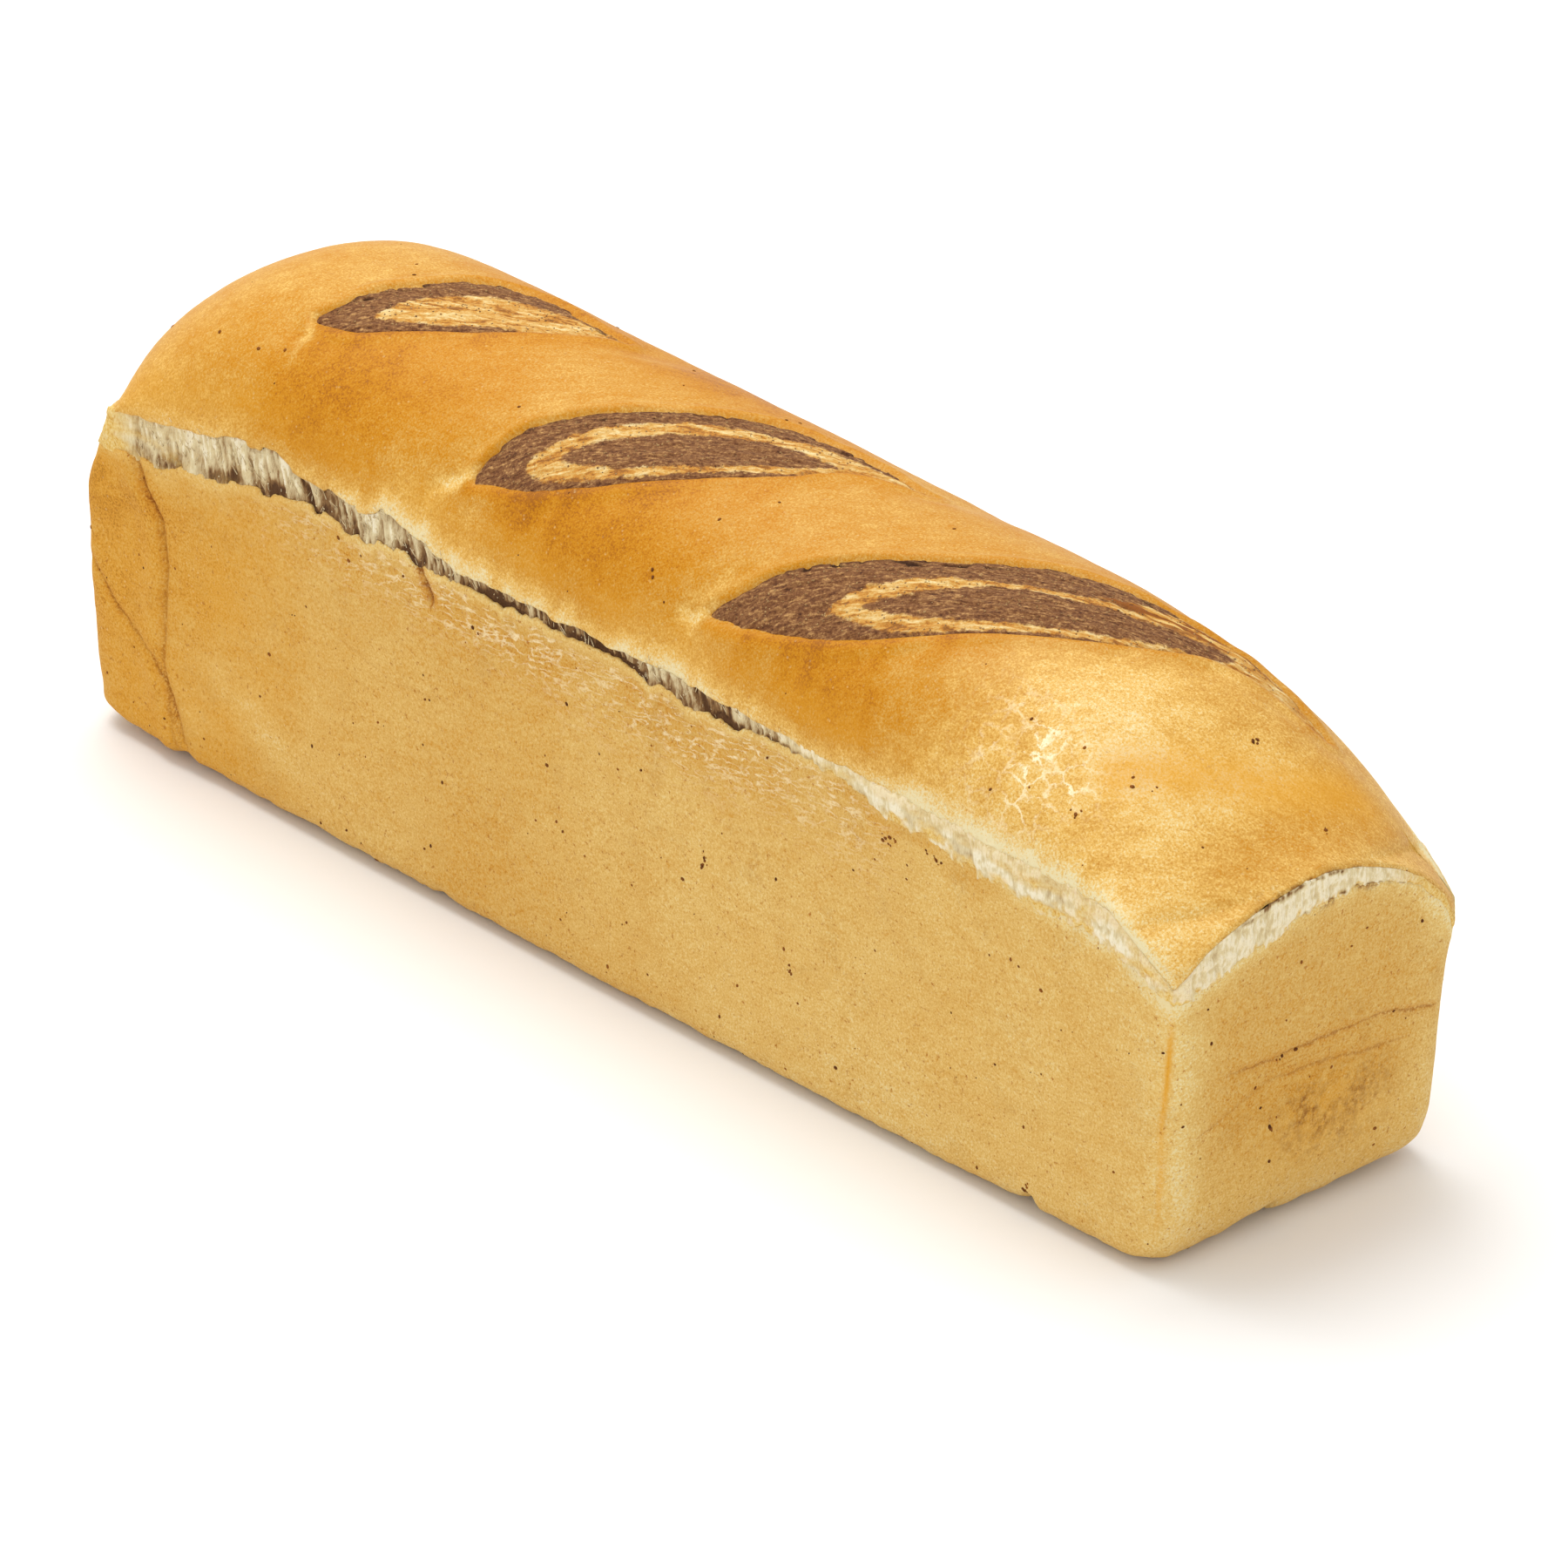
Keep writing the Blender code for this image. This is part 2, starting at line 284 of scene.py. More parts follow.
def ring_points(x, y, z, reach=1.0):
    """Plain loaf's surface level with z, straight out from the inner box."""
    x, y, z = np.broadcast_arrays(x, y, z)
    inner = np.stack([np.clip(x, -INNER_LENGTH, INNER_LENGTH),
                      np.clip(y, -INNER_WIDTH, INNER_WIDTH), z], -1)
    p = cast(inner, np.stack([x, y, z], -1))
    return inner + (p - inner) * reach


def ring_quads(rows, columns, closed=False):
    """Quads of a grid whose last column joins its first (and last row its first)."""
    number = np.arange(rows * columns).reshape(rows, columns)
    up = np.roll(number, -1, axis=0) if closed else number[1:]
    here = number if closed else number[:-1]
    quads = np.stack([here, np.roll(here, -1, 1), np.roll(up, -1, 1), up], -1)
    return quads.reshape(-1, 4)


def linear(hex_colour):
    """Linear colour with alpha from an sRGB hex value such as "d7b16a"."""
    srgb = [int(hex_colour[i:i + 2], 16) / 255.0 for i in (0, 2, 4)]
    return [c / 12.92 if c <= 0.04045 else ((c + 0.055) / 1.055) ** 2.4 for c in srgb] + [1.0]


def add(tree, kind, inputs=None, **settings):
    """A node with its settings, and its inputs given as values or as sockets to link."""
    node = tree.nodes.new(kind)
    for name, value in settings.items():
        setattr(node, name, value)
    for name, value in (inputs or {}).items():
        if isinstance(value, bpy.types.NodeSocket):
            tree.links.new(value, node.inputs[name])
        else:
            node.inputs[name].default_value = value
    return node


def add_ramp(tree, factor, stops):
    """Colour ramp with stops as (place, hex colour)."""
    node = add(tree, "ShaderNodeValToRGB", {"Fac": factor})
    ramp = node.color_ramp
    while len(ramp.elements) < len(stops):
        ramp.elements.new(0.5)
    for element, (place, colour) in zip(ramp.elements, stops):
        element.position = place
        element.color = linear(colour)
    return node.outputs["Color"]


def new_material(name):
    """Empty node material; returns it with its tree and its shader."""
    material = bpy.data.materials.new(name)
    material.use_nodes = True
    tree = material.node_tree
    return material, tree, tree.nodes["Principled BSDF"]


def per_mm(size):
    """Texture scale whose features are size millimetres long."""
    return 1.0 / (size * MM)


def crust_material(name, stops, roughness, shine, mottle_size, freckles, scorched, wrinkled):
    """Baked crust: starch and protein skin, browned by heat, matt where the tin held it.

    The eye sees a gold ground with fine darker freckles, soft blotches a few millimetres
    wide and a skin like fine leather, never one flat colour. The pale net is of long
    wrinkles on the walls and of branching cracks on the dome.
    """
    material, tree, shader = new_material(name)
    place = add(tree, "ShaderNodeTexCoord").outputs["Object"]
    bake, net, stain, gold, crease, crease_share = (
        add(tree, "ShaderNodeAttribute", attribute_name=key).outputs["Fac"]
        for key in ("bake", "net", "stain", "gold", "crease", "crease_share"))

    def noise(size, detail, rough):
        return add(tree, "ShaderNodeTexNoise", {"Vector": place, "Scale": per_mm(size),
                                                "Detail": detail, "Roughness": rough})

    def calculate(kind, first, second, third=0.0):
        return add(tree, "ShaderNodeMath", {0: first, 1: second, 2: third},
                   operation=kind).outputs[0]

    def spread(value, low, high, start=0.0, end=1.0):
        return add(tree, "ShaderNodeMapRange", {"Value": value, "From Min": low, "From Max": high,
                                                "To Min": start, "To Max": end}).outputs[0]

    def over(ground, top, share):
        return add(tree, "ShaderNodeMix", {"Factor": share, 6: ground, 7: linear(top)},
                   data_type="RGBA").outputs[2]

    def drawn_out(place, size, turn, detail):
        """Noise drawn out into streaks; turn is their direction about each axis."""
        streaks = add(tree, "ShaderNodeMapping", {"Vector": place, "Rotation": turn})
        streaks = add(tree, "ShaderNodeMapping", {"Vector": streaks.outputs[0],
                                                  "Scale": (0.22, 1.0, 1.0)})
        return add(tree, "ShaderNodeTexNoise", {"Vector": streaks.outputs[0],
                                                "Scale": per_mm(size),
                                                "Detail": detail}).outputs["Fac"]

    mottle = noise(mottle_size, 3.0, 0.6).outputs["Fac"]
    freckle = noise(0.65, 2.0, 0.8).outputs["Fac"]
    tone = calculate("MULTIPLY_ADD", calculate("SUBTRACT", mottle, 0.5), 0.30, bake)
    tone = calculate("MULTIPLY_ADD", calculate("SUBTRACT", freckle, 0.5), freckles, tone)
    streaks = drawn_out(place, 2.4, (0.0, 0.14, 0.0) if wrinkled else (0.0, 0.0, -0.75), 3.0)
    tone = calculate("MULTIPLY_ADD", calculate("SUBTRACT", streaks, 0.5), 0.3, tone)
    colour = over(add_ramp(tree, tone, stops), "d3941c", gold)
    # pale net: the thin outer skin parted into cells a few millimetres long
    wander = noise(3.0, 4.0, 0.7)
    bent = add(tree, "ShaderNodeVectorMath", {0: wander.outputs["Color"], 1: (0.5, 0.5, 0.5)},
               operation="SUBTRACT")
    bent = add(tree, "ShaderNodeVectorMath", {0: bent.outputs[0], 2: place,
                                              1: ((1.8 if wrinkled else 5.0) * MM,) * 3},
               operation="MULTIPLY_ADD")
    if wrinkled:
        ridge = drawn_out(bent.outputs[0], 1.7, (0.0, 0.14, 0.0), 1.0)
        ridge = calculate("ABSOLUTE", calculate("SUBTRACT", ridge, 0.5), 0.0)
        lines = spread(ridge, 0.006, 0.06, 0.66, 0.0)
    else:
        cells = add(tree, "ShaderNodeTexVoronoi", {"Vector": bent.outputs[0], "Scale": per_mm(5.2)},
                    feature="DISTANCE_TO_EDGE")
        lines = spread(cells.outputs["Distance"], 0.02, 0.10, 1.0, 0.0)
    lines = calculate("MULTIPLY", lines, spread(wander.outputs["Fac"], 0.40, 0.54))
    lines = calculate("MULTIPLY", lines, net)
    colour = over(colour, "f4e4ba", lines)
    # pin-head blisters that stayed pale, and grains of starch that scorched
    pores = add(tree, "ShaderNodeTexVoronoi", {"Vector": place, "Scale": per_mm(2.2)})
    blister = spread(pores.outputs["Distance"], 0.08, 0.2, 0.25, 0.0)
    colour = over(colour, "f0d9a0", calculate("MULTIPLY", blister, spread(mottle, 0.42, 0.6)))
    grains = spread(noise(1.1, 3.0, 0.6).outputs["Fac"], 0.61, 0.72, 0.0, scorched)
    colour = over(colour, "a5661f", grains)
    # scorched freckles and dirt from the tin
    dirt = spread(noise(1.9, 4.0, 0.8).outputs["Fac"], 0.38, 0.62)
    colour = over(colour, "7f4812", calculate("MULTIPLY", dirt, stain))
    # brown thread in the floor of a crease; its own attribute is the distance from it in mm
    stray = calculate("MULTIPLY_ADD", calculate("SUBTRACT", wander.outputs["Fac"], 0.5), 3.4, crease)
    stray = calculate("ABSOLUTE", stray, 0.0)
    for colour_of, inner, outer, share in (("bb751c", 0.3, 2.2, 0.5), ("85490f", 0.1, 0.6, 0.95)):
        thread = calculate("MULTIPLY", spread(stray, inner, outer, share, 0.0), crease_share)
        colour = over(colour, colour_of, calculate("MULTIPLY", thread, spread(freckle, 0.3, 0.5)))
    height = calculate("ADD", freckle, spread(pores.outputs["Distance"], 0.05, 0.16))
    height = calculate("MULTIPLY_ADD", lines, 1.2, height)
    bump = add(tree, "ShaderNodeBump", {"Height": height, "Strength": 0.35,
                                        "Distance": 0.35 * MM})
    tree.links.new(colour, shader.inputs["Base Color"])
    tree.links.new(bump.outputs[0], shader.inputs["Normal"])
    shader.inputs["Roughness"].default_value = roughness
    shader.inputs["IOR"].default_value = 1.45
    shader.inputs["Specular IOR Level"].default_value = shine
    return material


def make_piece(name, points, quads, caps, attributes, material):
    """A closed mesh from points in millimetres; it rides with the loaf and stands for it."""
    mesh = bpy.data.meshes.new(name)
    mesh.from_pydata((points * MM).tolist(), [], quads.tolist() + [list(c) for c in caps])
    bm = bmesh.new()
    bm.from_mesh(mesh)
    bmesh.ops.recalc_face_normals(bm, faces=bm.faces[:])
    bm.to_mesh(mesh)
    bm.free()
    for key, values in attributes.items():
        layer = mesh.attributes.new(key, "FLOAT", "POINT")
        layer.data.foreach_set("value", np.ascontiguousarray(values, dtype=np.float32))
    mesh.materials.append(material)
    mesh.shade_smooth()
    mesh.update()
    piece = bpy.data.objects.new(name, mesh)
    bpy.context.scene.collection.objects.link(piece)
    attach(piece, "root")
    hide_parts("loaf")
    return piece


# folds and creases in the near wall as (x, z), in the end wall as (y, z)
SEAM_FOLD = ((-178, 83), (-175, 74), (-169, 67), (-167, 55), (-168, 43), (-169, 27), (-166, 14),
             (-164, 4))
ROLL_FOLD = ((-197, 46), (-188, 37), (-173, 28), (-166, 19), (-160, 6))
SIDE_TEAR = ((-70, 92), (-67, 88), (-65, 84))
FAINT_FOLDS = (((-150, 86), (-132, 70), (-118, 52)), ((-98, 60), (-80, 56), (-60, 58)))
END_CREASE = ((-27, 51), (-18, 50.2), (-4, 49.8), (11, 49.6), (25, 49), (32, 47), (40, 45.5))
END_CREASE_LOW = ((-35, 37), (-28, 39.5), (-14, 44.3), (6, 43), (18, 41), (29, 40))
# how far the foot of each wall lifts off the table, with the steps where a fold ends
NEAR_LIFT = ((-203, 2.4), (-178, 1.2), (-166, 2.4), (-160, 2.9), (-157, 0.9), (-120, 0.4),
             (-112, 1.5), (-107, 0.4), (-68, 0.6), (-64, 1.7), (-58, 0.4), (60, 0.4), (120, 0.5),
             (142, 1.2), (150, 3.1), (151.6, 3.1), (153.2, 0.5), (190, 0.3), (203, 0.1))
RIGHT_LIFT = ((-48, 0.1), (-30, 1.0), (-10, 3.2), (-6, 3.4), (-4.6, 1.1), (12, 1.2), (36, 2.2),
              (48, 2.2))
FAR_LIFT = ((-203, 2.0), (-112, 0.5), (-108, 2.6), (-105, 0.5), (34, 0.4), (40, 2.2), (43, 0.6),
            (130, 0.5), (203, 2.2))
LEFT_LIFT = ((-48, 2.4), (-12, 0.5), (6, 0.5), (9, 1.9), (12, 0.5), (48, 2.0))


def wall_relief(p, low_edge):
    """Height of the wall's skin above the plain loaf."""
    x, y, z = p[..., 0], p[..., 1], p[..., 2]
    near, right, far, left = side_share(x, y)
    waves = slow_waves(p) + 0.14 * grain(p, 9.0, 23)
    skin = 0.05 * grain(p, 3.0, 24) + 0.03 * grain(p, 1.7, 25)
    relief = waves * step(0.0, 12.0, z) + skin
    fold = line_distance(x, z, SEAM_FOLD)
    behind = through(z, [(height, place) for place, height in SEAM_FOLD[::-1]]) - x
    relief += near * (1.1 * bell(behind - 4.5, 4.5) + 0.25 * bell(behind + 5.0, 4.0))
    relief -= near * 1.3 * bell(fold, 0.95) * (0.5 + 0.5 * step(20, 50, z))
    fold = line_distance(x, z, ROLL_FOLD)
    relief += near * (0.45 * bell(fold - 3.5, 3.0) - 0.8 * bell(fold, 0.9))
    relief += near * -1.5 * bell(line_distance(x, z, SIDE_TEAR), 0.9)
    for route in FAINT_FOLDS:
        relief += near * -0.2 * bell(line_distance(x, z, route), 1.3)
    relief += right * -0.6 * bell(line_distance(y, z, END_CREASE), 0.8)
    relief += right * -0.4 * bell(line_distance(y, z, END_CREASE_LOW), 0.9)
    # puckered strip under the tear: thin ridges round long flat cells
    strip = net_share(p, low_edge)
    drawn = p + np.stack([0 * z, 0 * z, 0.16 * x], -1)
    relief += strip * 0.34 * (0.5 - 2.0 * np.abs(grain(drawn, (6.0, 6.0, 2.4), 26)))
    relief += strip * 0.16 * (0.5 - 2.0 * np.abs(grain(drawn, (3.0, 3.0, 1.3), 27)))
    # the rim of the torn skin curls out a little
    relief += 0.3 * bell(low_edge - z - 1.2, 2.2) * (1 - near * step(50, 80, x))
    return relief


def net_share(p, low_edge):
    """Where the skin under the tear is wrinkled into a net."""
    x, y, z = p[..., 0], p[..., 1], p[..., 2]
    near, right, far, left = side_share(x, y)
    along = near * step(-155, -85, x) * step(112, 84, x)
    along = along + 0.8 * far * step(-120, -60, x) * step(90, 40, x)
    below = low_edge - z
    reach = 14.0 - 5.0 * step(0, -70, x)
    patch = 1.0 + 0.6 * grain(p, 14.0, 31)
    return np.clip(along * step(0.5, 3.0, below) * bell(np.maximum(below - 5.0, 0.0), reach) * patch, 0.0, 1.0)


def wall_tone(p, low_edge):
    """How brown the wall is baked, 0 to 1."""
    x, y, z = p[..., 0], p[..., 1], p[..., 2]
    near, right, far, left = side_share(x, y)
    below = low_edge - z
    tone = 0.46 + 0.24 * near * step(-90, -190, x) - 0.12 * near * step(0, 120, x)
    tone += 0.08 * right * (1 - step(20, 46, np.abs(y))) + 0.14 * left + 0.08 * far
    tone += 0.09 * layered(p, 50.0, 41) + 0.04 * grain(p, 12.0, 44)
    # browner strip a finger's width under the rim, pale lip just under the tear
    tone += 0.08 * near * bell(below - 14.0, 9.0) * step(60, -120, x)
    tone += 0.15 * net_share(p, low_edge)
    soft = below / (1.0 + 0.6 * grain(p, 6.0, 45))
    rolled = near * step(130, 160, x)
    tone -= (0.16 + 0.06 * rolled) * bell(soft, 2.4) * (1 - near * step(60, 90, x) * (1 - rolled))
    tone -= (0.16 * rolled + 0.14 * right + 0.2 * near * step(-130, -155, x)) * bell(soft, 6.0)
    tone += 0.16 * near * step(70, 90, x) * step(160, 130, x) * bell(soft - 3.0, 3.0)
    # the upright corners baked paler, the foot a little paler and yellower
    corner = np.hypot(HALF_LENGTH - np.abs(x - MIDDLE_X), HALF_WIDTH - np.abs(y))
    tone -= 0.18 * bell(corner, 12.0) * (x > 0) * (1.0 + 0.4 * grain(p, 9.0, 46))
    tone -= 0.16 * right * bell(y + 41.0, 5.0) * step(8, 26, z) * step(80, 62, z)
    tone -= 0.28 * right * bell(z, 22.0)
    tone -= 0.22 * near * bell(np.hypot((x + 158) / 10.0, (z - 17) / 8.0), 1.0)
    tone += 0.07 * right * bell(np.hypot((y + 8) / 16.0, (z - 40) / 9.0), 1.0)
    tone -= 0.30 * near * bell(np.hypot((x + 135) / 24.0, (z - 25 + 0.35 * (x + 134)) / 8.0), 1.0)
    return tone


def wall_stain(p, low_edge):
    """Scorch, tin dirt and the dark floors of creases, 0 to 1."""
    x, y, z = p[..., 0], p[..., 1], p[..., 2]
    near, right, far, left = side_share(x, y)
    scorch = np.hypot((y - 6) / 16.0, (z - 29) / 10.0)
    specks = 0.6 + 0.6 * grain(p, 6.0, 52) + 0.7 * grain(p, 1.8, 57)
    stain = right * 1.1 * bell(scorch, 1.0) * specks
    crumbled = step(-0.2, 0.2, grain(p, 2.4, 54)) * step(-10, -2, y) * step(30, 22, y)
    stain += right * crumbled * bell(low_edge - z, 1.7)
    stain += near * 0.25 * bell(line_distance(x, z, SEAM_FOLD), 1.4) * step(35, 60, z)
    stain += near * 0.8 * bell(line_distance(x, z, SIDE_TEAR), 0.9)
    stain += 0.2 * left * bell(np.hypot((y + 8) / 22.0, (z - 34) / 16.0), 1.0)
    stain += 0.12 * step(0.3, 0.9, layered(p, 9.0, 51))
    return np.clip(stain, 0.0, 1.0)


def crease_lines(p):
    """Signed distance in millimetres from the nearest crease, and how strong it is there."""
    x, y, z = p[..., 0], p[..., 1], p[..., 2]
    near, right, far, left = side_share(x, y)
    nearest, strength = np.full(x.shape, 9.0), np.zeros(x.shape)
    creases = [(near, x, z, SEAM_FOLD, 0.5 + 0.5 * step(45, 60, z), 0.8),
               (near, x, z, ROLL_FOLD, 0.75, 1.0), (near, x, z, SIDE_TEAR, 1.0, 0.4),
               (right, y, z, END_CREASE, 0.55, 1.0), (right, y, z, END_CREASE_LOW, 0.4, 1.0),
               (left, y, z, END_CREASE, 0.6, 1.0)]
    creases += [(near, x, z, route, 0.12, 1.0) for route in FAINT_FOLDS]
    for wall, a, b, route, share, narrow in creases:
        distance = line_distance(a, b, route)
        steep = abs(route[-1][1] - route[0][1]) > abs(route[-1][0] - route[0][0])
        if steep:
            side = a - through(b, sorted((height, place) for place, height in route))
        else:
            side = b - through(a, sorted(route))
        closer = (distance < np.abs(nearest)) & (wall > 0.5)
        nearest = np.where(closer, distance * narrow * np.sign(side), nearest)
        broken = 0.45 + 0.55 * step(-0.3, 0.1, grain(p, 9.0, 55))
        strength = np.where(closer, share * broken * step(3.6, 1.8, distance), strength)
    return nearest, strength


def wall_gold(p):
    """Where the wall is a warmer yellow: the left end and one line down the near corner."""
    x, y, z = p[..., 0], p[..., 1], p[..., 2]
    near, right, far, left = side_share(x, y)
    gold = 0.34 * near * step(-70, -180, x) + 0.22 * left + 0.08 * near
    ends = np.abs(x - MIDDLE_X) - end_wall(x - MIDDLE_X, z)
    sides = np.abs(y) - HALF_WIDTH
    line = bell(ends - sides + 0.6 + 0.8 * grain(p, 14.0, 56), 1.0) * bell(ends + sides, 9.0)
    line = line * (x > 0) * (y < 0) * step(76, 62, z) * step(8, 26, z)
    gold = gold * (1.0 + 0.5 * grain(p, 18.0, 53)) + 0.25 * right * bell(z, 20.0)
    gold += 0.32 * right * bell(np.hypot((y - 6) / 22.0, (z - 29) / 14.0), 1.0)
    return np.clip(gold + line * (0.75 + 0.5 * grain(p, 9.0, 58)), 0.0, 1.0)


WALL_LEVELS = 84                 # rings up the wall
BASE_REACH = (0.16, 0.3, 0.45, 0.6, 0.75, 0.88, 0.96)


def build_walls():
    x, y = outline_columns(500, 118, 250, 60)
    edge = torn_low(x, y)
    share = np.linspace(0.0, 1.0, WALL_LEVELS)
    share = share + 0.25 * share * (1.0 - share)      # finer towards the wrinkled rim
    share = np.concatenate([[0.0006, 0.002, 0.005], share[1:]])
    z = share[:, None] * edge[None, :]
    even = share[:, None] * edge.mean()
    z = even + (z - even) * step(0.35, 0.9, share)[:, None]
    wall = ring_points(x, y, z)
    normal = outward(wall)
    relief = wall_relief(wall, edge[None, :])
    tone, stain = wall_tone(wall, edge[None, :]), wall_stain(wall, edge[None, :])
    net = net_share(wall, edge[None, :])
    skin = wall + normal * relief[..., None]
    skin[..., 2] = np.maximum(skin[..., 2], 0.02)
    # scalloped foot: the rim of the base lifts off the table here and there
    lift = round_the_loaf(x, y, NEAR_LIFT, RIGHT_LIFT, FAR_LIFT, LEFT_LIFT)
    lift = lift * (1.0 + 0.35 * grain(wall[0], 5.0, 61)) + 0.3 + 0.3 * grain(wall[0], 2.6, 62)
    lift = np.clip(lift, 0.0, 4.0)
    skin[..., 2] += lift * step(9.0, 0.5, wall[..., 2])
    base = [ring_points(x, y, 0.0, reach) * (1, 1, 0) for reach in BASE_REACH]
    for ring, reach in zip(base, BASE_REACH):
        ring[:, 2] = lift * 0.8 * step(0.78, 1.0, reach)
    lip = skin[-1:]
    inward = normal[-1:] * (1, 1, 0)
    turned = [lip - inward * 0.5 + (0, 0, 0.35), lip - inward * 1.3 + (0, 0, 0.1),
              lip - inward * 3.0 - (0, 0, 1.5), lip * (0.9, 0.8, 1.0) - (0, 0, 8)]
    turned[-1][..., 2] = 70.0
    points = np.concatenate([np.stack(base), skin] + turned)
    rows, columns = points.shape[:2]

    def spread(values, start, end):
        return np.concatenate([np.repeat(start[None], len(base), 0), values,
                               np.repeat(end[None], len(turned), 0)]).ravel()

    floor_tone = 0.46 + 0.1 * layered(np.stack(base), 24.0, 71)
    tones = spread(tone, tone[0], tone[-1])
    tones[:len(base) * columns] = floor_tone.ravel()
    number = np.arange(rows * columns).reshape(rows, columns)
    gold = wall_gold(wall)
    crease, crease_share = crease_lines(wall)
    attributes = {"bake": tones, "net": spread(net, net[0] * 0, net[-1]),
                  "stain": spread(stain, stain[0], stain[-1]),
                  "gold": spread(gold, gold[0] * 0, gold[-1]),
                  "crease": spread(crease, crease[0], crease[-1]),
                  "crease_share": spread(crease_share, crease[0] * 0, crease[-1] * 0),
                  "open": spread(net * 0 + 1, net[0] * 0, net[0] * 0)}
    return make_piece("baked_walls", points.reshape(-1, 3), ring_quads(rows, columns),
                      [number[0], number[-1]], attributes, tin_crust)


# baked against steel: dull, dry skin, so rough with almost no shine
tin_crust = crust_material("tin_baked_crust", ((0.0, "ddcc9a"), (0.18, "dabd78"), (0.36, "d3ad62"),
                                               (0.5, "cba35a"), (0.63, "c89947"), (0.77, "c38b33"),
                                               (0.9, "b07422"), (1.0, "7d4c17")),
                           0.75, 0.2, 6.0, 1.35, 0.85, True)
walls = build_walls()

# ---------------------------------------------------------------------------------------
# Dome crust. Above the rim the dough rose free, so the top is a smooth, egg-gold skin,
# darkest on the haunches between the slashes and cream where it stretched last. It is
# brushed before baking, which leaves it a satin shine.
# ---------------------------------------------------------------------------------------
# slashes in plan: near tip, far tip, and the outline of the opened cut, its pale ring and
# its brown core as (along, across) from the near tip; across grows towards the far side
SLASHES = (
    {"near": (-133.5, -23.5), "far": (-61.0, 21.0),
     "open": ((-2.5, 0.4), (3, 4.2), (11, 10.3), (24, 17.7), (36, 22.4), (46, 23.6), (57, 20), (67, 11.5),
              (74, 6), (79, 2.6), (73, 0.2), (63, -2.6), (50, -5.8), (37, -7.9), (21, -7.9),
              (12, -7.4), (4, -4)),
     "pale": ((15, -2.5), (20, 3.7), (27, 8.2), (37, 12), (48, 13), (60, 10.6), (70, 6.6),
              (79.6, 2.9), (73, -0.6), (62, -3.6), (55, -5.4), (47, -4.2), (32, -5.8), (20, -3.8)),
     "core": (), "toast": ()},
    {"near": (-57.0, -38.0), "far": (42.0, 23.0),
     "open": ((-2.5, -1), (2.5, 3.4), (8, 7.4), (19, 10.8), (40, 15), (61, 18.4), (71, 19.2), (86, 14.6),
              (99, 8.8), (110, 1), (116, -1.5), (94, -2.6), (80, -10.1), (59, -13.3), (37, -12.8),
              (26, -11.4), (13, -8.2), (3.5, -4)),
     "pale": ((13, -3.5), (19, 1.4), (26, 4.7), (42, 8.2), (55, 10), (69, 9.5), (83, 8.5),
              (94, 5.8), (106, 1.4), (116.4, -1.6), (104, -2.8), (94, -3.2), (83, -7.6), (70, -10.2),
              (57, -11.4), (38, -11.8), (28, -10.3), (19, -8.4)),
     "core": ((22, -3.8), (28, 0.2), (39, 2.4), (52, 4.3), (66, 5), (76, 4.3), (85, 1.6),
              (92, -1.8), (86, -3.8), (74, -6.4), (60, -8.8), (47, -9.2), (36, -8.5)), "toast": ()},
    {"near": (31.0, -41.0), "far": (166.0, 33.0),
     "open": ((-1.5, 0), (7, 1.3), (16, 4.4), (33, 8.2), (54, 11.4), (75, 15.4), (92, 17.8), (115, 15.6),
              (134, 11), (148, 4.6), (156, -1), (140, -0.6), (127, -3), (114, -9.4), (96, -15), (77, -17.4),
              (55, -17.6), (37, -14.8), (17, -8.6), (4, -3)),
     "pale": ((32, -8), (38, -2.9), (47, 0), (58, 2.3), (70, 3.4), (83, 3.6), (96, 4.2),
              (112, 5.6), (126, 8.6), (140, 7), (150, 3.2), (156.5, -0.9), (140, -1.4), (127, -3.6), (115, -9.2),
              (100, -13.2), (83, -15.8), (68, -17), (55, -16.6), (45, -13.8), (36, -9.5)),
     "core": ((41, -8), (51, -4.7), (59, -2.1), (69, 0.6), (84, 1), (99, 1.4), (114, 2.3),
              (130, 3.5), (129, -1.6), (115, -7.5), (99, -11), (85, -13.1), (67, -13.2), (56, -11.9)),
     "toast": ((96, 5.6), (108, 7.6), (120, 9.6), (129, 8.0))},
)
RECESS = 1.3                     # the crust falls this far under the open face of a slash
LIP = 0.6                        # and stands up this much round it


def smooth_loop(corners, points_per_side=6):
    """Closed curve that runs smoothly through the corners."""
    c = np.array(corners, float)
    before, after, beyond = np.roll(c, 1, 0), np.roll(c, -1, 0), np.roll(c, -2, 0)
    t = (np.arange(points_per_side) / points_per_side)[:, None, None]
    curve = 0.5 * (2 * c + (after - before) * t + (2 * before - 5 * c + 4 * after - beyond) * t ** 2
                   + (3 * c - before - 3 * after + beyond) * t ** 3)
    return curve.transpose(1, 0, 2).reshape(-1, 2)


def loop_distance(u, v, loop):
    """Signed distance to a closed loop, positive inside."""
    if len(loop) == 0:
        return np.full(np.shape(u), -50.0)
    closed = np.concatenate([loop, loop[:1]])
    inside = np.zeros(np.shape(u), bool)
    for (u0, v0), (u1, v1) in zip(closed[:-1], closed[1:]):
        crosses = (v0 > v) != (v1 > v)
        rise = v1 - v0 if v1 != v0 else 1e-9
        inside ^= crosses & (u < (u1 - u0) * (v - v0) / rise + u0)
    distance = line_distance(u, v, closed)
    return np.where(inside, distance, -distance)


def slash_frame(slash):
    """Near tip and unit directions along and across a slash."""
    near, far = np.array(slash["near"]), np.array(slash["far"])
    along = (far - near) / np.linalg.norm(far - near)
    return near, along, np.array([-along[1], along[0]])


def slash_place(x, y, slash):
    near, along, across = slash_frame(slash)
    dx, dy = x - near[0], y - near[1]
    return dx * along[0] + dy * along[1], dx * across[0] + dy * across[1]


